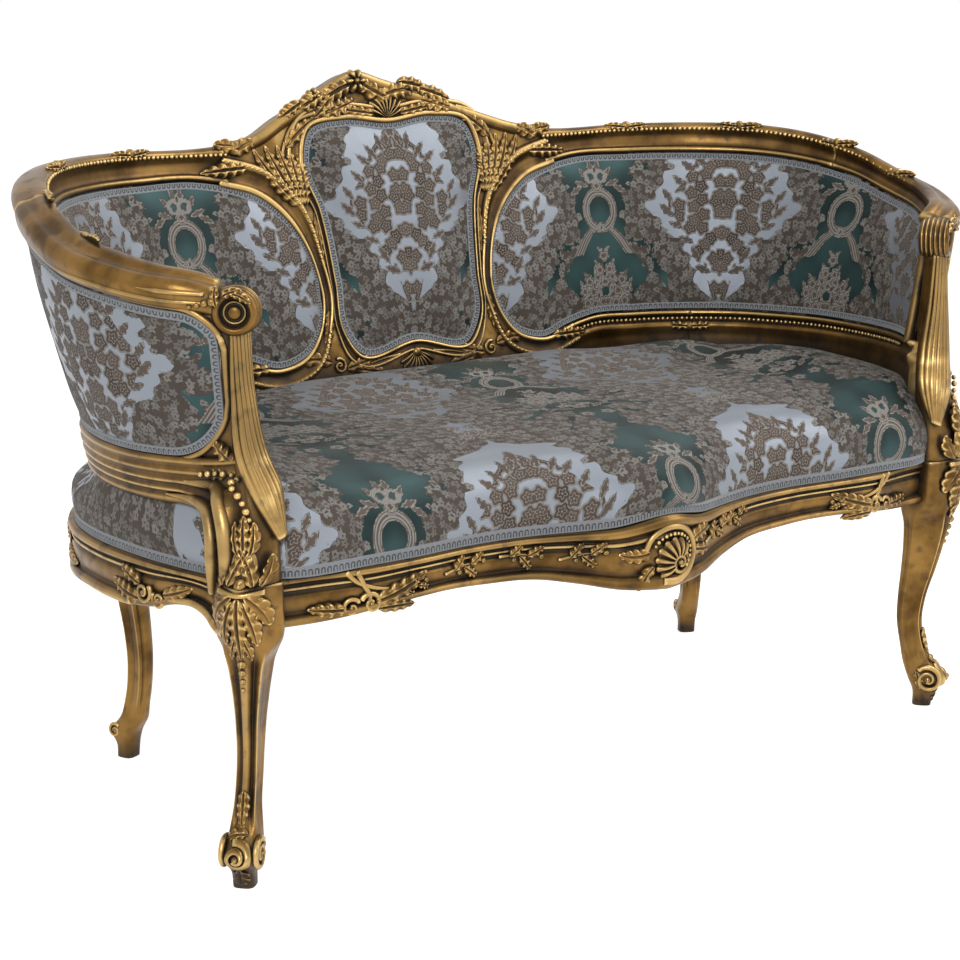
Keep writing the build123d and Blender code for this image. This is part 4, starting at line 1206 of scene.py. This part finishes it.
def medallion_frame():
    """The moulded frame of the medallion and of the tips of the side panels."""
    shape = Mesh()
    z = medallion_loop[:, 1]
    width = 0.38 + 0.62 * ease(z, 770, 862) + 0.30 * (1 - ease(z, 556, 600))
    moulding(shape, back_patch, medallion_loop, frame_profile, closed=True, width=width)
    for line, grow in ((tip_line, tip_width), (mirror_line(tip_line), tip_width[::-1])):
        moulding(shape, back_patch, line, tip_profile, width=grow)
    crest = smooth(list(reversed(crest_outline)), 300)
    moulding(shape, back_patch, crest, cap_profile)
    low = [(-x, z) for x, z in base_outline] + list(reversed(base_outline))[1:]
    moulding(shape, back_patch, smooth(low[::-1], 240), foot_profile)
    return shape


def tip_beads(shape, mirror):
    """Beads on the frame of the side panel's tip."""
    line = tip_line + left_of(tip_line) * (37 * tip_width)[:, None]
    for keep in (tip_line[:, 1] > 700, tip_line[:, 1] < 600):
        beads(shape, back_patch(mirror * line[keep, 0], line[keep, 1], 6.0), 7.6, 3.0)


crest_leaves = [
    (186, 872, 2.3, 76, 24, 8, 0.45, 5), (118, 918, 2.8, 70, 30, 10, 0.1, 5),
    (60, 934, -0.25, 64, 26, 9, -0.35, 5), (24, 916, 0.12, 72, 20, 8, 0.1, 5),
    (258, 846, -0.05, 76, 24, 13, 0.0, 5), (262, 549, 0.02, 72, 22, 12, 0.0, 5),
    (278, 868, 2.6, 44, 26, 8, 0.3, 3, 5), (262, 872, 0.35, 46, 24, 8, -0.2, 3, 5),
    (146, 626, -1.45, 70, 18, 5, 0.2, 5), (147, 690, 1.5, 92, 15, 5, 0.12, 6),
    (152, 548, 0.35, 66, 24, 6, -0.55), (128, 536, 3.0, 60, 22, 6, -0.25), (60, 524, 0.1, 66, 20, 6, 0.25)]
crest_middle_leaves = [
    (4, 938, 2.75, 70, 30, 10, -0.25, 4, 3), (-8, 942, 0.35, 76, 28, 10, -0.55, 5, 3),
    (-62, 962, 3.45, 66, 30, 12, 0.2, 4, 2), (-112, 950, 3.55, 58, 26, 12, 0.15),
    (-96, 948, 4.1, 52, 24, 10, -0.4), (-150, 938, 3.6, 50, 22, 10, 0.1),
    (60, 952, -0.28, 66, 26, 11, -0.1), (26, 962, -0.1, 58, 26, 12, -0.3)]


def crest_carving():
    """Leaves, scrolls and flowers on the crest, the carved stiles, and the shell under the medallion."""
    shape = Mesh()
    for side in (1, -1):
        surface = flipped(back_patch, side)
        for k in range(5):
            leaf(shape, surface, (176 - 3 * k, 786), 0.72 + 0.2 * k, 112 - 7 * k, 24, 10, 0.42 - 0.08 * k, 8)
        leaves(shape, surface, crest_leaves)
        stem = [(182, 800), (196, 838), (186, 880), (160, 912), (128, 922)]
        vine(shape, surface, stem, 8, taper=(0.5, 1.0))
        vine(shape, surface, [(30, 548), (62, 545), (98, 536), (126, 526)], 6)
        volute(shape, surface, (140, 541), 12, 1.3, 1.2, 1, 6)
        tip_beads(shape, side)
    leaves(shape, back_patch, crest_middle_leaves)
    for centre, heading, spread, radius, rise in (
            ((0, 908), math.pi / 2, 2.5, 44, 9), ((0, 552), -math.pi / 2, 2.4, 42, 8)):
        shell_fan(shape, back_patch, centre, heading, spread, radius, 9, rise)
    blossom(shape, back_patch, (-50, 966), 20, 6, 13)
    blossom(shape, back_patch, (-128, 946), 14, 5, 11)
    dome(shape, back_patch, (0, 549), 9, 10)
    return shape


medallion_frame().build("back_frame_mouldings", gilt, "gilt_wood")
crest_carving().build("back_carving", gilt, "gilt_wood")


def wall_ornament():
    """Bead rows and leaf clumps along the rails of the wall."""
    shape = Mesh()
    stations = even_stations(centre_joint, 3.2, 0.008)
    tall = rail_over(stations) - inside_over(stations)
    beads(shape, wall(stations, inside_over(stations) + 0.77 * tall, -3.0), 8.0, 3.4)
    stations = even_stations(centre_joint, 3.7, 0.008)
    beads(shape, wall(stations, inside_under(stations) - 13.5, 2.0), 8.0, 3.3)
    for station, share in ((1.36, 0.93), (1.95, 0.93), (2.55, 0.93), (3.05, 0.9)):
        over, under = rail_over(station), inside_over(station)
        top = wall_patch(station, under + share * (over - under), 0.0)
        for turn in (0.10, 3.04):
            leaf(shape, top, (0, -3), turn, 40, 15, 8)
        dome(shape, top, (0, 0), 8, 9)
    low = wall_patch(upright_station, inside_under(upright_station) - 27, 1.0)
    for turn in (0.05, 3.09):
        leaf(shape, low, (0, 0), turn, 44, 16, 7)
    dome(shape, low, (0, 0), 8, 8)
    return shape


make_pair(wall_ornament(), "wall_ornament", replaces=False)


# Arm rails with their scrolls

scroll_place = np.array([586.0, -279.0, 739.0])
scroll_turn = math.radians(55.0)
scroll_axis = np.array([math.cos(scroll_turn), -math.sin(scroll_turn), 0])
scroll_back = np.array([math.sin(scroll_turn), math.cos(scroll_turn), 0])
# One half of the scroll's section, as radius and distance along its axis: a ringed boss in a raised rim, and
# then reeds.
scroll_half_section = [
    (0.5, 21), (5, 20.6), (9, 19), (11, 15.5), (12.5, 15), (14.5, 17.5), (16.5, 17.5), (18, 14.5),
    (19.5, 14), (21.5, 20), (25, 23.5), (29, 23), (32, 20.5), (33.5, 17.5), (31.6, 15.3), (34.2, 13),
    (35.4, 10.5), (33.4, 8.2), (35.8, 5.6), (36.6, 3), (34.4, 0.6), (34.4, 0)]


def arm_rail():
    """The arm's rail, and the scroll that it ends in, with a ringed boss on each face."""
    shape = wall_rail(rail_joint, arm_rail_end)
    half = smooth(scroll_half_section, 70) * np.array([0.84, 0.95])
    section = np.concatenate([half, (half * np.array([1, -1]))[::-1][1:]])
    turn = full_turn(72)[None]
    r, w = section[:, 0][:, None], section[:, 1][:, None]
    body = (scroll_place + scroll_axis * w[..., None] + (scroll_back * np.cos(turn)[..., None]
            + np.array([0, 0, 1.0]) * np.sin(turn)[..., None]) * r[..., None]) * MM
    shape.solid(body)
    face = patch(scroll_place + scroll_axis * 23, scroll_back, (0, 0, 1), scroll_axis)
    for turn, start in ((2.5, (14, 20)), (1.2, (20, 8)), (3.3, (2, 24))):
        leaf(shape, face, start, turn, 26, 12, 5, bend=0.7, lobes=3)
    for k in range(4):
        dome(shape, face, (26 + 9 * k, 14 - 2 * k), 5.5 - 0.8 * k, 5.5 - 0.6 * k)
    for share, start in ((0.32, 0), (0.60, 14)):
        along = even_stations(2.9, pad_end, 0.01)[start:]
        line = wall(along, inside_over(along) + share * 40, 46.0 - 14 * ease(along, 3.7, low_rail_end))
        tube(shape, line, 3.2, (0.1, 1.0, 1.0, 0.8))
    return shape


make_pair(arm_rail(), "arm_rail")


def arm_facing():
    """The smooth gilt face between the outside cover and the post, and a bead round the cover's end."""
    shape = Mesh()
    stations = even_stations(3.4, facing_end, 0.006)
    under, over = inside_under(stations)[:, None] - 24, inside_over(stations)[:, None] + 2
    over = over - 24 * ease(stations, 3.93, 3.99)[:, None]
    z = under + (over - under) * np.linspace(0, 1, 30)
    belly = 34.0 + 3.5 * np.sin(np.linspace(0, np.pi, 30)) - 8 * ease(stations, 3.95, facing_end)[:, None]
    inner = np.full_like(z, 16.0)
    faces = [wall(stations[:, None], z, belly), wall(stations[:, None], z[:, ::-1], inner)]
    shape.solid(np.concatenate(faces, 1))
    along = even_stations(3.45, outside_end - 0.0005, 0.004)
    low = np.stack([along, outside_under(along) - 3], 1)
    high = np.stack([along, outside_over(along) + 3], 1)[::-1]
    line = np.concatenate([low, high]) * np.array([station_scale, 1])
    line = even(line, 150)
    place = line[:, 0] / station_scale + 0.012 * ease(line[:, 0] / station_scale, 3.85, 3.94)
    tube(shape, wall(place, line[:, 1], 37.0), 4.5)
    end = np.linspace(inside_under(edge_tube) - 6, inside_over(edge_tube) + 6, 40)
    tube(shape, wall(np.full(40, edge_tube), end, 2.0), 7.5)
    return shape


make_pair(arm_facing(), "arm_facing", replaces=False)


# Legs and arm posts

# Each row: angle from the toe, height of a ridge or, below 0, depth of a hollow, and its width.
leg_flutes = [
    (0, 0.10, 0.13), (0.42, -0.16, 0.2), (0.85, 0.08, 0.13), (1.4, -0.13, 0.25), (1.9, 0.06, 0.15),
    (2.5, -0.10, 0.25)]


def toe_axes(angle):
    """Directions ahead of a foot and across it, in plan."""
    toe = np.array([math.cos(math.radians(angle)), math.sin(math.radians(angle))])
    return toe, np.array([-toe[1], toe[0]])


def squarish(angle, power):
    """A circle drawn out towards a square, as two numbers from -1 to 1."""
    return [np.sign(a) * np.abs(a) ** power for a in (np.cos(angle), np.sin(angle))]


def leg(foot, toe_angle, line, block, block_half, lean, flute):
    """A cabriole leg with a ridge down its front and a hollow each side of it, under a rounded block."""
    toe, across = toe_axes(toe_angle)
    rows = smooth(line, 150)
    angle = full_turn(120)
    z, shift, long, wide = (rows[:, k][:, None] for k in range(4))
    px, py = squarish(angle, 0.62)
    fade = ease(z, 62, 100) * (1 - 0.8 * ease(z, 300, 350))
    turn = np.abs((angle + np.pi) % (2 * np.pi) - np.pi)[None]
    ridge = sum(height * np.exp(-((turn - at) / spread) ** 2) for at, height, spread in leg_flutes)
    grow = 1 + flute * ridge * fade
    drift, square = ease(z, 80, 320), ease(z, 296, 346)
    ahead, aside = shift + px * long / 2 * grow, py * wide / 2 * grow
    heading = angle + math.radians(toe_angle)
    reach = block_half / (np.abs(np.cos(heading)) ** 5 + np.abs(np.sin(heading)) ** 5) ** 0.2
    rim = np.cos(heading) * reach, np.sin(heading) * reach
    xy = []
    for k in (0, 1):
        free = foot[k] + lean[k] * drift + toe[k] * ahead + across[k] * aside
        xy.append(free * (1 - square) + (block[k] + rim[k]) * square)
    return Mesh().solid(np.stack([*xy, z + 0 * xy[0]], -1) * MM)


front_toe, front_across = toe_axes(front_toe_angle)
front_ridge = level([
    (0, 14), (20, 17), (46, 32), (72, 13), (96, 2), (140, -5), (180, 0), (225, 12), (265, 23), (300, 30),
    (345, 39), (400, 40), (430, 36), (500, 30)])
front_shift = level([
    (0, 0), (90, 0), (150, -3), (205, -8), (260, -13), (320, -16), (400, -17), (425, -22), (500, -24)])


def front_corner(u, v, h):
    """The rounded front corner of the leg and of the post over it: right, height, out."""
    u, v, h = alike(u, v, h)
    ahead = front_ridge(v) + h - u * u / 64
    aside = front_shift(v) + u
    xy = np.array(front_foot) + front_toe * ahead[..., None] + front_across * aside[..., None]
    return np.concatenate([xy, v[..., None]], -1) * MM


def front_leg():
    """The front leg with its carved knee, its drop of leaves and its scroll foot."""
    shape = leg(front_foot, front_toe_angle, front_leg_line, block=(587, -288), block_half=36.5,
                lean=(-13, -10), flute=1.3)
    down = -math.pi / 2
    vine(shape, front_corner, [(-30, 400), (0, 397), (30, 400)], 10, taper=(0.8, 0.8))
    for side in (1, -1):
        leaf(shape, front_corner, (side * 8, 396), down + side * 1.05, 50, 24, 8, bend=-side * 0.9)
        leaf(shape, front_corner, (side * 5, 390), down + side * 0.5, 62, 22, 9, bend=-side * 0.5, lobes=5)
        volute(shape, front_corner, (side * 25, 388), 9, 1.3, math.pi / 2, side, 5.5)
        leaf(shape, front_corner, (side * 3, 344), down + side * 0.5, 34, 13, 6, bend=-side * 0.4, lobes=3)
        foot_face = patch(
            np.array([*front_foot, 46]) + np.append(front_toe * 6 + front_across * side * 21, 0),
            np.append(front_toe, 0), (0, 0, 1), np.append(front_across * side, 0))
        volute(shape, foot_face, (2, 0), 21, 1.7, math.pi * 0.75, -1, 9, rise=2)
        leaf(shape, foot_face, (-16, 14), -1.4, 36, 14, 5, bend=0.4, lobes=3)
    leaf(shape, front_corner, (0, 394), down, 84, 25, 10, lobes=6)
    for k in range(4):
        dome(shape, front_corner, (0, 306 - 12 * k), 6.0 - 0.9 * k, 6.5 - 0.9 * k)
    leaf(shape, front_corner, (0, 126), down, 46, 17, 6)
    volute(shape, front_corner, (1, 48), 18, 1.7, 1.2, 1, 10, rise=6)
    leaf(shape, front_corner, (-10, 74), 0.2, 30, 14, 6, bend=-0.9, lobes=3)
    leaf(shape, front_corner, (0, 30), down, 26, 24, 6, lobes=3)
    return shape


make_pair(front_leg(), "front_leg")


def back_leg():
    """The back leg, plainer, with a small scroll behind its foot."""
    line = back_leg_line + [(370, -4, 56, 54), (405, -4, 56, 54)]
    shape = leg(back_foot, back_toe_angle, line, block=(515, 211), block_half=46.5, lean=(-4, -16), flute=1.8)
    toe, across = (np.append(axis, 0) for axis in toe_axes(back_toe_angle))
    for side in (1, -1):
        face = patch(np.array([*back_foot, 40]) + toe * 4 + across * side * 15, toe, (0, 0, 1), across * side)
        volute(shape, face, (6, 2), 11, 1.4, math.pi * 0.75, -1, 6, rise=2)
    return shape


make_pair(back_leg(), "back_leg")

post_rows = [
    (405, 582, -296, 62, 54), (440, 580, -297, 58, 50), (500, 577, -293, 46, 42), (560, 578, -283, 34, 36),
    (620, 583, -277, 28, 34), (670, 586, -277, 26, 32), (712, 586, -279, 26, 26)]
# Reeds down the post's front: each row holds the points of one reed, in metres.
post_reeds = [
    [(0.598, -0.288, 0.716), (0.600, -0.292, 0.640), (0.597, -0.300, 0.560), (0.583, -0.316, 0.510),
     (0.560, -0.325, 0.462)],
    [(0.595, -0.290, 0.716), (0.595, -0.295, 0.640), (0.590, -0.304, 0.560), (0.577, -0.318, 0.511),
     (0.558, -0.326, 0.463)],
    [(0.591, -0.291, 0.716), (0.590, -0.296, 0.640), (0.583, -0.305, 0.560), (0.570, -0.319, 0.512),
     (0.557, -0.326, 0.464)],
    [(0.587, -0.2925, 0.716), (0.585, -0.2965, 0.640), (0.576, -0.304, 0.560), (0.563, -0.317, 0.514),
     (0.556, -0.325, 0.465)],
    [(0.583, -0.2925, 0.716), (0.580, -0.295, 0.640), (0.569, -0.3005, 0.560), (0.557, -0.313, 0.517),
     (0.555, -0.324, 0.466)],
    [(0.579, -0.2915, 0.716), (0.5755, -0.2925, 0.640), (0.5635, -0.2965, 0.560), (0.553, -0.307, 0.520),
     (0.554, -0.322, 0.467)],
    [(0.575, -0.289, 0.716), (0.5715, -0.287, 0.640), (0.560, -0.289, 0.560), (0.550, -0.300, 0.522),
     (0.554, -0.320, 0.468)]]


def post():
    """An arm post: smooth outside, reeded in front, with a leafy cartouche at its foot."""
    rows = smooth(post_rows, 120)
    angle = full_turn(96)
    z, cx, cy, sx, sy = (rows[:, k][:, None] for k in range(5))
    px, py = squarish(angle, 0.7)
    shape = Mesh()
    shape.solid(np.stack([cx + px * sx / 2, cy + py * sy / 2, z + 0 * px], -1) * MM)
    for reed in post_reeds:
        tube(shape, reed, 7.0, (0.4, 0.45, 0.72, 1.0, 0.7))
    up = math.pi / 2
    for side in (1, -1):
        leaf(shape, front_corner, (side * 16, 408), up + side * 0.25, 66, 20, 8, bend=side * 0.5, lobes=5)
        leaf(shape, front_corner, (side * 24, 408), up - side * 0.5, 40, 16, 7, bend=side * 0.6, lobes=3)
        leaf(shape, front_corner, (side * 8, 448), up - side * 0.35, 40, 16, 8, bend=side * 0.5, lobes=3)
        stem = [(side * 13, 414), (side * 15, 432), (side * 9, 450), (0, 456)]
        vine(shape, front_corner, stem, 6, taper=(1, 0.8))
    shell_fan(shape, front_corner, (0, 414), up, 1.5, 32, 5, 6)
    leaf(shape, front_corner, (0, 450), up, 46, 18, 8)
    dome(shape, front_corner, (0, 412), 9, 8)
    return shape


make_pair(post(), "arm_post")

sweep_outer = np.array([
    wall(3.66, 531, 46), wall(3.86, 526, 46), (0.617, -0.276, 0.506), (0.6205, -0.294, 0.478),
    (0.620, -0.297, 0.445), (0.615, -0.282, 0.390)])
sweep_inner = np.array([
    wall(3.52, 510, 47), wall(3.72, 507, 48), (0.6235, -0.254, 0.490), (0.6275, -0.272, 0.464),
    (0.629, -0.274, 0.432), (0.621, -0.260, 0.388)])
sweep_taper = (0.1, 0.9, 1.0, 1.0, 0.8)


def arm_sweep():
    """The double moulding that sweeps from the lower arm rail down beside the post, with beads and leaves."""
    shape = Mesh()
    tube(shape, sweep_outer, 10.5, sweep_taper)
    tube(shape, sweep_inner, 8.5, sweep_taper)
    line = smooth(sweep_outer[1:], 40)
    z = line[:, 2]
    post_line_rows = np.array(post_rows)
    post_x = np.interp(z / MM, post_line_rows[:, 0], post_line_rows[:, 1]) * MM
    post_y = np.interp(z / MM, post_line_rows[:, 0], post_line_rows[:, 2]) * MM
    heart = np.stack([post_x, post_y, z], 1)
    behind = np.array([-0.016, 0.012, 0.0])
    share = np.linspace(0, 1, 9)[None, :, None]
    swell = np.array([0.011, -0.010, 0.0]) * np.sin(np.pi * np.linspace(0.15, 0.9, 9))[None, :, None]
    face = line[:, None] * (1 - share) + heart[:, None] * share + swell
    shape.solid(np.concatenate([face, heart[:, None] + behind / 2, line[:, None] + behind], 1))
    row = [
        wall(3.78, 543, 48), wall(3.9, 545, 48), wall(4.0, 541, 47), (0.613, -0.300, 0.531),
        (0.608, -0.309, 0.519), (0.603, -0.314, 0.506), (0.599, -0.317, 0.492), (0.597, -0.318, 0.478)]
    beads(shape, smooth(np.array(row), 60), 10.0, 4.8)
    side = wall_patch(3.98, 566, 37, outward=True)
    leaves(shape, side, [
        (-4, -12, 2.5, 44, 20, 8, -0.35), (4, -4, 1.5, 50, 20, 8, -0.35), (-8, -24, 3.3, 40, 20, 8, -0.35),
        (8, -22, 0.7, 34, 20, 8, -0.35)])
    return shape


make_pair(arm_sweep(), "arm_sweep", replaces=False)


# Ornament of the seat rails

front_normal = -left_of(front_path)
side_normal = -left_of(side_path)


def front_surface(u, v, h):
    """The face of the front rail: right, height, out."""
    u, v, h = alike(u, v, h)
    place, ahead = front_path[:, 0], front_normal
    x = u + np.interp(u, place, ahead[:, 0]) * h
    y = np.interp(u, place, front_path[:, 1]) + np.interp(u, place, ahead[:, 1]) * h
    return np.stack([x, y, v], -1) * MM


def side_surface(u, v, h):
    """The face of the right side rail: towards the back, height, out."""
    u, v, h = alike(u, v, h)
    place = side_path[:, 1]
    x = np.interp(u, place, side_path[:, 0]) + np.interp(u, place, side_normal[:, 0]) * h
    y = u + np.interp(u, place, side_normal[:, 1]) * h
    return np.stack([x, y, v], -1) * MM


rail_leaves = [
    (-30, 372, 3.5, 44, 22, 7, -0.7), (-26, 352, 3.9, 40, 18, 7, 0.5, 3), (40, 378, 0.5, 46, 24, 8, -0.5),
    (42, 366, -0.3, 44, 20, 8, 0.3, 3)]
rail_end_leaves = [
    (428, 360, 2.95, 84, 26, 9, -0.25, 5), (424, 350, 3.1, 56, 18, 8, 0.2), (466, 354, 0.0, 50, 20, 8, 0.15)]
# Each row: right, up, heading.
rail_sprigs = [(-290, 380, 0.15), (-205, 382, -0.1), (-120, 374, 0.1), (105, 376, 0.35), (150, 384, 0.2)]
side_rail_leaves = [
    (140, 362, 3.4, 70, 22, 6, -0.3, 5), (172, 366, 0.2, 44, 20, 6, -0.3, 3),
    (-120, 352, 0.1, 66, 24, 8, 0.25, 5), (-122, 372, 0.5, 48, 20, 8, -0.3),
    (-168, 366, 2.9, 56, 20, 7, -0.2)]


def rail_carving():
    """The rocaille in the middle of the front rail, scrolled leaves at its ends, and sprigs between."""
    shape = Mesh()
    sweep = np.radians(np.linspace(170, -110, 9))
    rim = np.stack([2 + 41 * np.cos(sweep), 366 + 38 * np.sin(sweep)], 1)
    vine(shape, front_surface, rim, 14, taper=(0.6, 0.9))
    shell_fan(shape, front_surface, (14, 352), 2.35, 3.0, 40, 8, 11)
    volute(shape, front_surface, (16, 352), 17, 1.5, 1.0, -1, 8, rise=5)
    inside = np.radians(np.linspace(150, -40, 30))
    beads(shape, front_surface(2 + 31 * np.cos(inside), 366 + 29 * np.sin(inside), 5.0), 6.4, 2.8)
    leaves(shape, front_surface, rail_leaves)
    for place, height, turn in rail_sprigs:
        sprig(shape, front_surface, (place, height), turn, 31)
    for side in (1, -1):
        surface = flipped(front_surface, side)
        vine(shape, surface, [(452, 402), (444, 384), (436, 366), (442, 352)], 10, taper=(0.8, 0.7))
        stem = [(466, 402), (452, 388), (436, 380), (400, 372), (360, 371)]
        vine(shape, surface, stem, 8, taper=(1.0, 0.3))
        volute(shape, surface, (434, 358), 14, 1.3, 0.4, 1, 8)
        volute(shape, surface, (460, 355), 12, 1.2, 2.6, -1, 7)
        leaves(shape, surface, rail_end_leaves)
        sprig(shape, surface, (372, 368), 2.9, 22)
    return shape


rail_carving().build("front_rail_carving", gilt, "gilt_wood")


def side_rail_carving():
    """A shell and scrolls on the side rail, and the raised sweep in front of them."""
    shape = Mesh()
    shell_fan(shape, side_surface, (150, 372), math.pi * 0.6, 2.4, 34, 7, 7)
    volute(shape, side_surface, (160, 368), 13, 1.4, 0.5, 1, 6)
    leaves(shape, side_surface, side_rail_leaves)
    low = level(side_edge)
    marks = np.linspace(-165, -282, 16)
    vine(shape, side_surface, np.stack([marks, low(marks) + 7], 1), 14, taper=(0.5, 1.0))
    volute(shape, side_surface, (-128, 362), 15, 1.4, 2.4, 1, 8, rise=4)
    volute(shape, side_surface, (-158, 358), 12, 1.3, 0.6, -1, 7, rise=3)
    marks = np.linspace(120, -100, 14)
    vine(shape, side_surface, np.stack([marks, low(marks) + 6], 1), 10, taper=(0.4, 1.0))
    return shape


make_pair(side_rail_carving(), "side_rail_carving", replaces=False)


# Jute under the seat: webbing straps, and the hessian over the springs

jute = jute_material()
web_half, web_thick, web_inset = 30.0, 2.0, 27.0
hessian_under, hessian_thick, hessian_inset = 452.0, 2.0, 70.5
# Each row: name, axis along the strap, underside, places across, and what the straps are tacked to.
web_rows = [
    ("lengthwise", 0, 354.0, (-195, -55, 85), ("side_seat_rail_left", "side_seat_rail_right")),
    ("crosswise", 1, 352.0, (-380, -190, 0, 190, 380), ("front_seat_rail", "back_seat_rail"))]


def web_strap(axis, under, place):
    """One flat strap with ribs along it, and its length in metres."""
    plan = seat_plan(web_inset)
    plan = plan[np.abs(plan[:, 1 - axis] - place) < web_half + 3]
    ahead = plan[:, axis] > (seat_middle if axis else 0)
    run = np.linspace(plan[~ahead, axis].max(), plan[ahead, axis].min(), 180)[:, None]
    side = np.linspace(-web_half, web_half, 61)
    rib = 0.12 * np.cos(side * 2 * np.pi / 6)
    across = np.r_[side, side[::-1]][None] + 0 * run
    z = under + np.r_[web_thick - 0.12 + rib, 0.12 - rib[::-1]][None] + 0 * run
    rows = (run + 0 * across, place + across, z) if axis == 0 else (place + across, run + 0 * across, z)
    shape = Mesh()
    shape.solid(np.stack(rows, -1) * MM)
    return shape, float(run[-1, 0] - run[0, 0]) * MM


for web_name, axis, under, places, rails in web_rows:
    for count, place in enumerate(places, 1):
        shape, length = web_strap(axis, under, place)
        piece = shape.build(f"seat_web_{web_name}_{count}", jute, "webbing", [f"seat_webbing_{web_name}"])


def hessian():
    """The sheet over the springs, with its flat size and area in metres."""
    plan = seat_plan(hessian_inset)[::5]
    middle = np.array([0, seat_middle])
    rings = np.linspace(0.02, 1, 24)
    flat = middle + (plan - middle)[None] * np.r_[rings, rings[::-1]][:, None, None]
    level_z = hessian_under + hessian_thick * (np.arange(48) > 23)[:, None]
    z = level_z + 0.5 * np.sin(flat[..., 0] * 0.033) * np.sin(flat[..., 1] * 0.045)
    shape = Mesh()
    shape.solid(np.concatenate([flat, z[..., None]], -1) * MM)
    after = np.roll(plan, -1, 0)
    area = abs(np.sum(plan[:, 0] * after[:, 1] - after[:, 0] * plan[:, 1])) / 2 * MM * MM
    return shape, np.ptp(plan, axis=0) * MM, float(area)


shape, flat_size, area = hessian()
piece = shape.build("seat_hessian_cloth", jute, "webbing", ["seat_hessian"])


# Frame nodes that keep their own shape

def dress(nodes, material):
    """Gives CAD nodes a material."""
    for name in nodes:
        data = frame["nodes"][name].data
        data.materials.clear()
        data.materials.append(material)


shown_gilt = ["crest_rail_centre", "back_stile_left", "back_stile_right", "lower_back_rail_centre"]
plain_wood = [
    "back_seat_rail", "front_corner_block_left", "front_corner_block_right", "back_corner_block_left",
    "back_corner_block_right", "seat_frame_dowels"]
dress(shown_gilt, flat_gilt)
dress(plain_wood, wood_material("sawn_beech", (0.17, 0.095, 0.045), (0.38, 0.24, 0.13)))
dark_wood = wood_material("stained_beech", (0.020, 0.012, 0.007), (0.055, 0.034, 0.019))
dress(["back_upright_left", "back_upright_right", "back_frame_dowels"], dark_wood)
dress(["seat_springs", "corner_block_screws"], steel_material())


# Studio: a white floor and backdrop, soft lamps, and the camera

def seen_directly(tree):
    """1 for rays of the camera, of gloss and of glass, 0 for the light on the object."""
    path = add_node(tree, "LightPath")
    seen = larger(tree, path.outputs["Is Camera Ray"], path.outputs["Is Glossy Ray"])
    return larger(tree, seen, path.outputs["Is Transmission Ray"])


def show_at(obj, place, right, up, back):
    """Gives an object its place and its three axes, and adds it to the scene."""
    matrix = Matrix.Identity(4)
    for i in range(3):
        matrix[i] = (right[i], up[i], back[i], place[i])
    obj.matrix_world = matrix
    bpy.context.scene.collection.objects.link(obj)


def floor():
    """A wide pale floor that keeps the shadow."""
    shape = bpy.data.meshes.new("floor")
    half = 14.0
    corners = [(-half, -half, 0), (half, -half, 0), (half, half, 0), (-half, half, 0)]
    shape.from_pydata(corners, [], [(0, 1, 2, 3)])
    material, tree, shader = new_material("floor_paper")
    glow = times(tree, seen_directly(tree), 0.86)
    set_inputs(tree, shader, {
        "Base Color": (0.82, 0.82, 0.82, 1), "Roughness": 1.0, "Specular IOR Level": 0.0,
        "Emission Color": (1, 1, 1, 1), "Emission Strength": glow})
    shape.materials.append(material)
    obj = bpy.data.objects.new("floor", shape)
    bpy.context.scene.collection.objects.link(obj)


def world():
    """White where the camera, gloss or glass looks; a dimmer grey light on the object."""
    sky = bpy.data.worlds.new("studio")
    sky.use_nodes = True
    tree = sky.node_tree
    shader = tree.nodes["Background"]
    strength = scaled(tree, seen_directly(tree), 0.70, 0.30)
    set_inputs(tree, shader, {"Color": (1, 1, 1, 1), "Strength": strength})
    bpy.context.scene.world = sky


lamp_target = np.array([0, 0, 0.5])


def lamp(name, place, size, power):
    """A soft square lamp, turned to the middle of the settee."""
    data = bpy.data.lights.new(name, "AREA")
    data.energy = power
    data.size = size
    obj = bpy.data.objects.new(name, data)
    heading = unit(lamp_target - np.array(place))
    side = unit(np.cross(heading, (0, 0, 1.0)))
    show_at(obj, place, side, np.cross(side, heading), -heading)


def camera():
    """The photograph's viewpoint."""
    place = (-1.728, -2.530, 1.139)
    yaw, pitch, roll = (math.radians(a) for a in (33.73, 13.66, 0.34))
    forward = np.array([math.sin(yaw) * math.cos(pitch), math.cos(yaw) * math.cos(pitch), -math.sin(pitch)])
    right = np.array([math.cos(yaw), -math.sin(yaw), 0.0])
    down = np.cross(forward, right)
    tilted_right = math.cos(roll) * right + math.sin(roll) * down
    tilted_down = -math.sin(roll) * right + math.cos(roll) * down
    data = bpy.data.cameras.new("camera")
    data.lens = 79.1
    data.sensor_width = 36.0
    data.sensor_fit = "HORIZONTAL"
    data.shift_x, data.shift_y = -0.0078, -0.0015
    obj = bpy.data.objects.new("camera", data)
    show_at(obj, place, tilted_right, -tilted_down, -forward)
    bpy.context.scene.camera = obj


floor()
world()
lamp("key", (-2.4, -2.6, 2.4), size=1.4, power=62)
lamp("fill", (2.6, -2.4, 1.8), size=2.0, power=20)
lamp("top", (1.8, -0.5, 3.0), size=2.0, power=42)
camera()
bpy.context.scene.view_settings.view_transform = "Standard"
